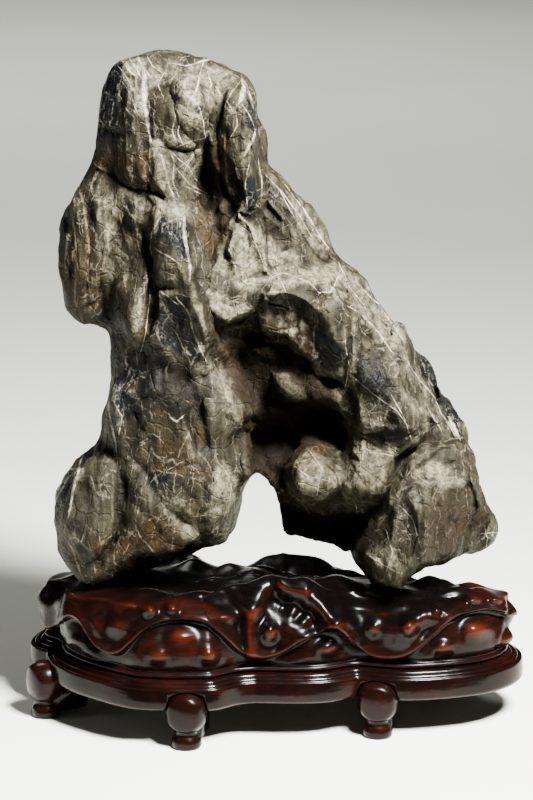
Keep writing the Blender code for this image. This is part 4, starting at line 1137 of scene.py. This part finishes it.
# Sections, as inset from the outline and height
PLINTH_SECTION = [
    (9, PLINTH_BOTTOM), (3.5, PLINTH_BOTTOM), (1.9, 22.3), (0.8, 23.2), (0.25, 24.4), (0.05, 25.4),
    (0.3, 29), (0.65, 33), (0.8, 34.1), (1.1, 34.8), (1.6, 35.0), (2.2, 34.7), (2.6, 34.2),
    (3.0, 34.2), (3.3, 35.2), (3.8, 36.2), (4.5, 36.6), (5.2, 36.4), (5.6, 35.7), (5.9, 35.3),
    (6.3, 35.5), (6.6, 36.5), (7.1, 37.3), (7.8, 37.8), (8.8, PLINTH_TOP), (12, PLINTH_TOP)]
BODY_FOOT_SECTION = [
    (11.5, BODY_BOTTOM), (10.3, 38.5), (9.6, 38.9), (9.25, 39.6), (9.2, 40.3), (9.5, 41.0),
    (10.2, 41.4), (11.2, 41.6), (11.4, WALL_FOOT)]
BODY_WALL = [(42, 11.0), (44, 9.8), (48, 8.4), (54, 7.6), (60, 8.2), (66, 10.8), (72, 15.4),
             (76, 20), (80, 26), (84, 34)]
LOWER_STEP = 2.6             # mm the lower layer steps in below the lip
UPPER_STEP = 1.3             # mm the upper layer stands out
LIP_ROLL = 1.6
LIP_ABOVE_RIM = 5            # least mm from the lip up to the rim
WALL_WAIST = 8.2             # inset from which the upper layer leans back
BODY_CROWN = 1.5             # mm the top stands above its rim
BODY_SMOOTHING = 3
SEAT_GAP = 0.6               # mm kept clear below the stone
SEATS_FROM = 55              # height above which the top is sunk under the stone
# Pixels along the upper layer's lip, seen from the front
LIP_LINE = [
    (40, 640), (49, 636), (58, 627), (68, 618), (78, 620), (87, 632), (96, 646), (108, 654),
    (119, 655), (130, 645), (141, 634), (155, 625), (172, 621), (192, 621), (208, 626),
    (222, 637), (235, 650), (245, 657), (256, 660), (270, 658), (283, 653), (296, 645),
    (311, 637), (325, 631), (336, 630), (344, 636), (353, 645), (363, 653), (378, 659),
    (396, 660), (410, 655), (421, 647), (433, 636), (448, 623), (464, 615), (484, 611),
    (500, 613), (512, 618)]
# Height of that lip round the sides and back, by direction in degrees
WAVE_EDGE = [
    (5, 60), (20, 48), (45, 64), (68, 46), (90, 67), (112, 47), (135, 65), (155, 47),
    (172, 61), (187, 49), (200, 60), (215, 48), (238, 72), (264, 46), (288, 52), (310, 61),
    (334, 46), (350, 64)]
BODY_RIM = [
    (0, 72), (12, 70), (25, 66), (45, 65), (60, 68), (80, 70), (95, 69), (108, 64),
    (116, 62), (125, 66), (150, 69), (180, 72), (200, 75), (225, 77), (238, 80), (250, 80),
    (275, 81), (300, 80), (322, 77), (340, 75), (352, 74)]

# Carved knobs round the sides and back: x, y, z, half width, half height, proud
SIDE_KNOBS = [
    (-132, 0, 61, 9, 7, 3.4), (-130, 20, 56, 8, 7, 3.4), (-136, 12, 47, 8, 5, 2.4),
    (-128, -18, 66, 8, 7, 3.2), (-126, -28, 50, 9, 6, 3.0), (122, 40, 56, 9, 7, 3.6),
    (136, 8, 47, 7, 6, 3.6), (134, 16, 60, 8, 7, 3.6), (128, 30, 48, 8, 5, 2.6),
    (92, 50, 60, 10, 7, 3.6), (70, 50, 50, 8, 6, 3.0), (40, 60, 58, 9, 7, 3.6),
    (22, 70, 50, 9, 6, 3.0), (8, 70, 62, 11, 7, 4), (-12, 74, 50, 10, 5, 2.6),
    (-20, 68, 53, 8, 6, 3.0), (-58, 64, 60, 10, 7, 3.6), (-44, 60, 50, 8, 5, 2.6),
    (-86, 60, 64, 9, 7, 3.6), (-78, 66, 49, 9, 5, 2.6), (-108, 46, 54, 8, 6, 3.0),
    (-118, 38, 64, 8, 6, 3.0), (135, 0, 70, 9, 6, 3.0), (128, 24, 70, 8, 6, 3.4),
    (122, -20, 70, 9, 6, 2.6)]
# Mounds, knobs and dishes of the body's top: x, y, height, radius along x, along y
TOP_FORMS = [
    (-12, 8, 9, 13, 16), (14, -2, 9, 12, 14), (36, 4, 8, 10, 14), (2, -22, 7, 12, 10),
    (24, -24, 7, 10, 9), (-88, 6, 8, 22, 22), (-52, 30, 7, 9, 12), (-30, 22, 6, 8, 10),
    (-34, -6, 6, 10, 10), (-22, -26, 5, 9, 9), (-40, -34, 4, 10, 8), (68, -2, 4, 22, 18),
    (98, 10, 7, 8, 10), (110, -2, 6, 7, 8), (120, 10, 5, 7, 9), (88, 22, 7, 8, 10),
    (-12, 38, 7, 14, 10), (6, 40, 7, 14, 10), (23, 40, 7, 12, 10), (46, 38, 4, 11, 10),
    (72, 40, 5, 9, 8), (-80, 44, 5, 12, 9), (-108, 24, 5, 10, 10), (112, 30, 5, 9, 8),
    (-112, -8, 4, 9, 9), (-66, -34, 4, 11, 8), (-96, -26, 3, 10, 8), (-56, 52, 5, 9, 8)]

# Ridges and grooves on the front: name, kind, width px, height mm, line of pixels
STAND_STROKES = [
    ("mound face", "round", 22, 7.0, [(256, 586), (284, 576), (312, 582)]),
    ("mound crest", "round", 9, 3.4, [(240, 572), (262, 566), (290, 566), (314, 572), (330, 582)]),
    ("mound dip", "round", 6, -3.0, [(268, 574), (276, 590), (274, 604)]),
    ("central ridge left arm", "round", 6, 3.4, [(229, 584), (237, 598), (246, 612)]),
    ("central ridge right arm", "round", 10, 6.0, [(247, 582), (255, 594), (256, 612)]),
    ("central ridge", "round", 5.0, 3.0, [(252, 606), (250, 630), (251, 646), (252, 658)]),
    ("groove left of ridge", "round", 6, -2.0, [(236, 618), (240, 634), (243, 648)]),
    ("groove right of ridge", "round", 5, -2.0, [(266, 596), (264, 610), (262, 640)]),
    ("thick ridge", "round", 11.5, 8.0, [(274, 584), (288, 589), (306, 592), (320, 601),
     (331, 616), (339, 628)]),
    ("hollow under it", "round", 9, -4.5, [(280, 604), (296, 610), (310, 620), (320, 632)]),
    ("bowl", "round", 13, -3.0, [(274, 644), (292, 646)]),
    ("second ridge", "round", 7.5, 4.6, [(338, 600), (342, 612), (345, 628), (352, 640)]),
    ("groove beyond", "round", 5, -2.2, [(333, 600), (337, 614)]),
    ("left layer ridge", "round", 9, 3.4, [(146, 610), (172, 608), (196, 613), (226, 618)]),
    ("left layer hollow", "round", 8, -2.2, [(150, 624), (134, 634), (118, 648)]),
    ("left streak ridge", "round", 6, 2.4, [(116, 610), (134, 600), (152, 588)]),
    ("left dish", "round", 16, -2.6, [(98, 634), (116, 642)]),
    ("left lip slope", "round", 6, 2.0, [(60, 616), (74, 610), (92, 618), (100, 632)]),
    ("right layer ridge", "round", 11, 5.4, [(404, 634), (412, 622), (426, 614), (440, 614)]),
    ("right dish", "round", 14, -3.0, [(372, 640), (392, 648)]),
    ("right dish two", "round", 7, -2.2, [(420, 634), (430, 626)]),
    ("rim ridge", "round", 6, 3.4, [(444, 616), (458, 606), (474, 600), (490, 598), (502, 602)]),
    ("rim groove", "round", 5, -2.4, [(436, 600), (450, 602), (462, 598)]),
    ("left seat lip", "round", 3, 2.0, [(72, 597), (90, 599), (114, 597)]),
    ("left seat", "round", 5, -2.0, [(74, 590), (94, 592), (114, 590)]),
    ("right seat lip", "round", 3, 2.4, [(350, 604), (368, 610), (390, 610), (406, 604)]),
    ("right seat", "round", 5, -3.0, [(352, 596), (376, 602), (402, 597)])]
# Carved bosses on the front: x, y, half width px, half height px, proud mm, groove mm
STAND_BOSSES = [
    (181, 636, 15, 8.5, 3.4, 0.9), (158, 657, 11, 7, 3.0, 0.8), (209, 656, 10, 8, 3.2, 0.9),
    (75, 642, 12, 6, 1.6, 0.6), (328, 648, 12, 8, 2.8, 0.8), (443, 648, 10, 8, 2.8, 0.8),
    (476, 629, 14, 11, 4.4, 0.8), (504, 642, 9, 9, 3.6, 0.6), (117, 626, 12, 10, 3.0, 0.6),
    (149, 610, 8, 8, 3.8, 0.7), (172, 607, 8, 8, 3.8, 0.7), (231, 616, 9, 8, 3.4, 0.6),
    (268, 632, 11, 12, 5.2, 0.9), (293, 611, 8, 7, 3.0, 0.5), (305, 620, 8, 7, 2.8, 0.5),
    (373, 628, 9, 9, 2.8, 0.6), (409, 627, 9, 10, 4.0, 0.5), (445, 590, 7, 7, 4.0, 0.6),
    (438, 608, 8, 6, 2.6, 0.5), (474, 596, 9, 8, 3.4, 0.5), (472, 583, 8, 6, 3.0, 0.4),
    (496, 597, 8, 7, 3.0, 0.4), (508, 617, 7, 8, 2.6, 0.4), (200, 592, 8, 6, 3.0, 0.5),
    (218, 598, 8, 6, 2.4, 0.4), (330, 590, 8, 6, 2.4, 0.4), (94, 608, 12, 7, 1.8, 0.4),
    (130, 604, 8, 6, 2.0, 0.4), (50, 606, 8, 8, 2.0, 0.4), (252, 570, 9, 7, 3.0, 0.5),
    (298, 574, 10, 8, 3.0, 0.5), (432, 574, 8, 6, 3.0, 0.4), (418, 594, 9, 6, 2.6, 0.4),
    (458, 580, 7, 6, 2.4, 0.4)]
# Shares of the way in from the rim where the top's rings lie closest
RIM_RINGS = (0.015, 0.03, 0.05, 0.075, 0.1)

# Name, x, y, the way it faces in degrees
FEET = [
    ("foot_left_end", -128, -32, 221), ("foot_front_left", -38, -71, 266),
    ("foot_front_right", 66, -36, 271), ("foot_back_right", 95, 51, 75),
    ("foot_back_left", -62, 66, 96)]
FOOT_BALL_RADIUS = 11.9
FOOT_BALL_HEIGHT = 21
FOOT_SIDES = 48
FOOT_FLAT_FROM = 8           # the ball's outward face is flattened beyond this
FOOT_FLATTENING = 0.55
FOOT_BLOCK = ((-24, -7.5, 3), (-2, 7.5, 21.6))
FOOT_NOTCH_GAP = 0.9         # mm between a ball and its notch in the plinth


def spline(points, steps):
    """Points along a Catmull-Rom curve through the given ones."""
    pts = np.array(points, float)
    pts = np.vstack([2 * pts[0] - pts[1], pts, 2 * pts[-1] - pts[-2]])
    curve = []
    for a, b, c, d in zip(pts, pts[1:], pts[2:], pts[3:]):
        for t in np.arange(steps) / steps:
            bend = (2 * a - 5 * b + 4 * c - d) * t ** 2 + (3 * b - a - 3 * c + d) * t ** 3
            curve.append(0.5 * (2 * b + (c - a) * t + bend))
    curve.append(pts[-2])
    return np.array(curve)


def stand_outline(step):
    """The stand's outline as evenly spaced points, and its outward directions."""
    dense = np.vstack([spline(lobe, 12)[:-1] for lobe in STAND_LOBES])
    loop = np.vstack([dense, dense[:1]])
    run = np.concatenate([[0], np.cumsum(np.hypot(*np.diff(loop, axis=0).T))])
    at = np.linspace(0, run[-1], int(run[-1] / step), endpoint=False)
    pts = np.column_stack([np.interp(at, run, loop[:, k]) for k in (0, 1)])
    along = np.roll(pts, -1, axis=0) - np.roll(pts, 1, axis=0)
    out = np.column_stack([along[:, 1], -along[:, 0]])
    out = out / np.hypot(*out.T)[:, None]
    for _ in range(3):
        out = (np.roll(out, 1, axis=0) + 2 * out + np.roll(out, -1, axis=0)) / 4
    return pts, out / np.hypot(*out.T)[:, None]


def rings_to_mesh(name, rings):
    """Close a stack of equal rings, from the bottom up, with a cap at each end."""
    count = len(rings[0])
    verts = [tuple(p) for ring in rings for p in ring]
    faces = []
    for k in range(len(rings) - 1):
        low = k * count
        for i in range(count):
            j = (i + 1) % count
            faces.append((low + i, low + j, low + count + j, low + count + i))
    faces.append(tuple(range(count - 1, -1, -1)))
    faces.append(tuple(range((len(rings) - 1) * count, len(rings) * count)))
    return add_mesh(name, verts, faces)


def around(table, angles):
    """Read a table of (degrees, value) at any angle along one smooth closed curve."""
    keys = np.array(table, float)
    turns = [keys + (360 * turn, 0) for turn in (-1, 0, 1)]
    curve = spline(np.vstack(turns), 8)
    order = np.argsort(curve[:, 0])
    return np.interp(angles, curve[order, 0], curve[order, 1])


def level_profile(away):
    """A soft dome, 1 in its middle and 0 from a distance of 1 on."""
    return 0.5 + 0.5 * np.cos(math.pi * np.clip(away, 0, 1))


def push_knobs(ring, out):
    """Raise the carved knobs out of the sides and back, each with a groove round it."""
    for x, y, z, half_width, half_height, proud in SIDE_KNOBS:
        sideways = np.hypot(ring[:, 0] - x, ring[:, 1] - y) / half_width
        away = np.hypot(sideways, (ring[:, 2] - z) / half_height)
        dome = level_profile(away / 1.3)
        groove = np.exp(-((away - 1.3) / 0.3) ** 2)
        ring[:, :2] += out * (proud * dome - 0.5 * groove)[:, None]
    return ring


def lip_heights(pts, out, wall, start):
    """Heights of the upper layer's wavy lip: its line in front, a plain wave behind."""
    line = spline(LIP_LINE, 8)
    best = np.full(len(pts), np.inf)
    height = np.array(start)
    for z in np.arange(43.5, 76, 0.25):
        inset = np.interp(z, wall[:, 0], wall[:, 1])
        place = np.column_stack([pts - out * inset, np.full(len(pts), z)])
        pixels = to_pixels(place)
        gap = np.abs(pixels[:, 1] - np.interp(pixels[:, 0], line[:, 0], line[:, 1]))
        known = (pixels[:, 0] > line[0, 0]) & (pixels[:, 0] < line[-1, 0])
        closer = (gap < best) & known
        best = np.where(closer, gap, best)
        height = np.where(closer, z, height)
    height = start + (height - start) * ramp(out @ BACK[:2], 0.12, 0.5)
    for _ in range(10):
        height = (np.roll(height, 1) + 2 * height + np.roll(height, -1)) / 4
    return height


def body_rings():
    """Rings up the wall, the recessed lower layer, then the proud upper one, and the top."""
    pts, out = stand_outline(STAND_STEP)
    angles = np.degrees(np.arctan2(pts[:, 1], pts[:, 0])) % 360
    wall = np.array(BODY_WALL, float)
    wave = lip_heights(pts, out, wall, around(WAVE_EDGE, angles))
    rim = np.maximum(around(BODY_RIM, angles), wave + LIP_ABOVE_RIM)
    side = ramp(np.abs(out @ RIGHT[:2]), 0.75, 0.97)
    rings = [np.column_stack([pts - out * inset, np.full(len(pts), z)])
             for inset, z in BODY_FOOT_SECTION]
    for t in np.linspace(0.03, 1, 16):
        z = WALL_FOOT + (wave - 0.4 - WALL_FOOT) * t
        step = LOWER_STEP * (1 - 0.6 * side)
        inset = np.interp(z, wall[:, 0], wall[:, 1]) + step * ramp(z - wave, -14, -1)
        rings.append(push_knobs(np.column_stack([pts - out * inset[:, None], z]), out))
    for t in np.concatenate([[0, 0.015, 0.04], np.linspace(0.08, 1, 22)]):
        z = wave + (rim - wave) * t
        above = z - wave
        lip = LIP_ROLL * np.exp(-((above - 2.0) / 2.2) ** 2)
        under = 2.0 * np.exp(-(above / 1.0) ** 2)
        lean = np.interp(z, wall[:, 0], wall[:, 1])
        lean -= 0.45 * side * np.maximum(lean - WALL_WAIST, 0)
        inset = lean - UPPER_STEP + (under - lip) * (1 - 0.7 * side)
        rings.append(push_knobs(np.column_stack([pts - out * inset[:, None], z]), out))
    edge = rings[-1][:, :2]
    for t in np.concatenate([RIM_RINGS, np.linspace(0.125, 0.97, 36)]):
        flat = edge * (1 - t)
        lift = rim + (rim.mean() - rim) * ramp(t, 0.1, 0.6) + BODY_CROWN
        for cx, cy, height, rx, ry in TOP_FORMS:
            lift += height * np.exp(-((flat[:, 0] - cx) / rx) ** 2 - ((flat[:, 1] - cy) / ry) ** 2)
        z = rim + (lift - rim) * np.clip(t / 0.12, 0, 1)
        z += (z.mean() - z) * t ** 6
        rings.append(np.column_stack([flat, z]))
    return rings


def push_bosses(obj):
    """Raise the front's bosses towards the camera, each with a groove round it."""
    points = points_of(obj)
    sight = sight_lines(points)
    seen = ramp(facing_eye(obj, sight), 0, 0.3)
    pixels = to_pixels(points)
    for x, y, half_width, half_height, proud, groove in STAND_BOSSES:
        away = np.hypot((pixels[:, 0] - x) / half_width, (pixels[:, 1] - y) / half_height)
        dome = level_profile(away / 1.25)
        ring = np.exp(-((away - 1.3) / 0.35) ** 2)
        points += sight * ((proud * dome - groove * ring) * seen)[:, None]
    move_points(obj, points)


def clear_the_stone(body, stone):
    """Sink the body's top into seats just below the stone."""
    depsgraph = bpy.context.evaluated_depsgraph_get()
    tree = BVHTree.FromObject(stone, depsgraph)
    points = points_of(body)
    for k in np.nonzero(points[:, 2] > SEATS_FROM)[0]:
        x, y, z = points[k]
        hit = tree.ray_cast(Vector((x * MM, y * MM, 0.03)), Vector((0, 0, 1)))[0]
        if hit is not None and hit.z / MM - SEAT_GAP < z:
            points[k, 2] = hit.z / MM - SEAT_GAP
    move_points(body, points)


def make_body(stone):
    """The carved block: its rings, then bosses, strokes and the stone's seats."""
    body = rings_to_mesh("carved_body", body_rings())
    edges = edges_of(body)
    push_bosses(body)
    carve(body, STAND_STROKES)
    move_points(body, smoothed(points_of(body), edges, BODY_SMOOTHING))
    clear_the_stone(body, stone)
    keep_relief(body, edges, 8, 40)
    # Painted shadow: the middle of the top, where it faces up under the stone, is marked for the
    # lacquer to darken
    points = points_of(body)
    inward = np.hypot(points[:, 0] / 128, (points[:, 1] - 2) / 62)
    level = normals_of(body)[:, 2]
    store(body, "painted_stone_shadow", ramp(inward, 0.98, 0.80) * ramp(level, 0.2, 0.6))
    return body


def foot_section(grow):
    """Half section of pad, waist and ball from the floor up: radius, height."""
    section = [(5, 0), (7.2, 0), (8.0, 0.4), (8.5, 1.4), (8.6, 3.0), (8.3, 4.6), (7.7, 6.0),
               (6.9, 7.2), (6.4, 8.2), (6.3, 9.2)]
    for degrees in range(-62, 88, 6):
        a = math.radians(degrees)
        radius = FOOT_BALL_RADIUS * max(math.cos(a), 0) ** 0.8 + grow
        rise = FOOT_BALL_RADIUS * math.copysign(abs(math.sin(a)) ** 0.9, a)
        section.append((radius, FOOT_BALL_HEIGHT + rise + (grow if degrees > 0 else 0)))
    return section


def turn_foot(name, grow):
    """Pad, waist and ball turned about the upright axis, the outward face flattened."""
    rings = []
    for radius, height in foot_section(grow):
        ring = []
        for k in range(FOOT_SIDES):
            a = math.tau * k / FOOT_SIDES
            x, y = radius * math.cos(a), radius * math.sin(a)
            x -= FOOT_FLATTENING * max(0, x - FOOT_FLAT_FROM - grow)
            ring.append((x, y, height))
        rings.append(ring)
    return rings_to_mesh(name, rings)


def add_block(name, low, high):
    """A box between two corners, its edges rounded."""
    mesh = bmesh.new()
    bmesh.ops.create_cube(mesh, size=1)
    middle = [(a + b) / 2 * MM for a, b in zip(low, high)]
    size = [(b - a) * MM for a, b in zip(low, high)]
    mesh.transform(Matrix.Translation(middle) @ Matrix.Diagonal((*size, 1)))
    bmesh.ops.bevel(mesh, geom=mesh.edges[:], offset=1.2 * MM, segments=3, affect="EDGES")
    return add_from_bmesh(name, mesh)


def seat_foot(obj, x, y, outward):
    """Stand a foot's piece in its place, the move kept in the mesh itself."""
    turn = Matrix.Rotation(math.radians(outward), 4, "Z")
    obj.data.transform(Matrix.Translation((x * MM, y * MM, 0)) @ turn)


def even_relief(obj):
    for name in ("edge", "hollow", "painted_stone_shadow"):
        store(obj, name, np.zeros(len(obj.data.vertices)))


def make_feet(ball_look, block_look):
    """The balls and their blocks, and the cutters for the balls' notches in the plinth."""
    cutters = []
    for name, x, y, outward in FEET:
        ball = turn_foot(name + "_ball", 0)
        block = add_block(name + "_block", *FOOT_BLOCK)
        cutter = turn_foot("cutter", FOOT_NOTCH_GAP)
        for piece in (ball, block, cutter):
            seat_foot(piece, x, y, outward)
        for piece, look in ((ball, ball_look), (block, block_look)):
            even_relief(piece)
            dress(piece, name, look)
        cutters.append(cutter)
    return cutters


def make_plinth(cutters):
    pts, out = stand_outline(STAND_STEP)
    rings = [np.column_stack([pts - out * inset, np.full(len(pts), z)])
             for inset, z in PLINTH_SECTION]
    plinth = rings_to_mesh("plinth", rings)
    for cutter in cutters:
        notch = plinth.modifiers.new("Notch", "BOOLEAN")
        notch.object = cutter
        notch.operation = "DIFFERENCE"
        notch.solver = "EXACT"
    bpy.context.view_layer.update()
    bake(plinth)
    for cutter in cutters:
        bpy.data.objects.remove(cutter)
    keep_relief(plinth, edges_of(plinth), 4, 10)
    store(plinth, "painted_stone_shadow", np.zeros(len(plinth.data.vertices)))
    return plinth


# ---------------------------------------------------------------- the studio
SWEEP_FRONT, SWEEP_HALF_WIDTH, SWEEP_BEND, SWEEP_RADIUS = -150, 1500, 3500, 700
# Name, place, target and size in metres, power, spread in degrees, tint
SOFTBOXES = [
    ("key", (0.44, -0.50, 0.92), (0, 0, 0.10), (0.25, 0.22), 72, 140, (1, 1, 1)),
    ("rim", (-0.6, 0.9, 1.1), (-0.1, 0.1, 0.0), (0.5, 0.4), 2.1, 110, (1, 1, 1)),
    ("left", (-1.0, -0.5, 0.6), (0, 0, 0.2), (0.2, 0.6), 0.3, 120, (0.90, 0.95, 1)),
    ("far", (-0.7, 2.5, 1.7), (-0.7, 2.5, 0), (2.4, 1.8), 17, 96, (1, 1, 1))]
ROOM_COLOUR, ROOM_STRENGTH = (0.9, 0.92, 0.9, 1), 0.025


def add_softbox(name, place, target, size, power, spread, tint):
    light = bpy.data.lights.new(name, "AREA")
    light.shape = "RECTANGLE"
    light.size, light.size_y = size
    light.energy = power
    light.spread = math.radians(spread)
    light.color = tint
    lamp = add_object(name, light)
    lamp.location = place
    aim = Vector(target) - Vector(place)
    lamp.rotation_euler = aim.to_track_quat("-Z", "Y").to_euler()


def make_sweep():
    """A long pale table top that curves up at its far end."""
    turned = Matrix.Rotation(VIEW_AZIMUTH, 3, "Z")
    bend = [(SWEEP_BEND + SWEEP_RADIUS * math.sin(a), SWEEP_RADIUS - SWEEP_RADIUS * math.cos(a))
            for a in np.linspace(0, math.pi / 3, 16)]
    verts = []
    for depth, height in [(SWEEP_FRONT, 0)] + bend:
        for side in (-SWEEP_HALF_WIDTH, SWEEP_HALF_WIDTH):
            flat = turned @ Vector((side, depth, 0))
            verts.append((flat.x, flat.y, height))
    faces = [(2 * k, 2 * k + 1, 2 * k + 3, 2 * k + 2) for k in range(len(verts) // 2 - 1)]
    sweep = add_mesh("sweep", verts, faces)
    sweep.data.shade_smooth()
    look = Look("paper")
    tone = look.noise(3, 2, 0.4)
    colour = look.mix(look.ease(tone, 0.3, 0.7), PAPER, PAPER_PALE)
    look.set(Base_Color=colour, Roughness=0.9, Normal=look.bump(look.noise(700), 0.0002, 0.2))
    sweep.data.materials.append(look.material)


def make_studio():
    make_sweep()
    for softbox in SOFTBOXES:
        add_softbox(*softbox)
    world = bpy.data.worlds.new("room")
    bpy.context.scene.world = world
    world.use_nodes = True
    sky = world.node_tree.nodes["Background"]
    sky.inputs["Color"].default_value = ROOM_COLOUR
    sky.inputs["Strength"].default_value = ROOM_STRENGTH


def main():
    make_camera()
    stone = make_stone()
    vein_stone(stone)
    dress(stone, "rock", stone_look())
    body = make_body(stone)
    dress(body, "stand_body", lacquer_look("carved wood", *CARVED_LACQUER))
    dark = lacquer_look("plinth wood", *PLINTH_LACQUER)
    foot_wood = lacquer_look("foot wood", *FOOT_LACQUER)
    plinth = make_plinth(make_feet(foot_wood, dark))
    dress(plinth, "stand_plinth", dark)
    make_studio()


main()
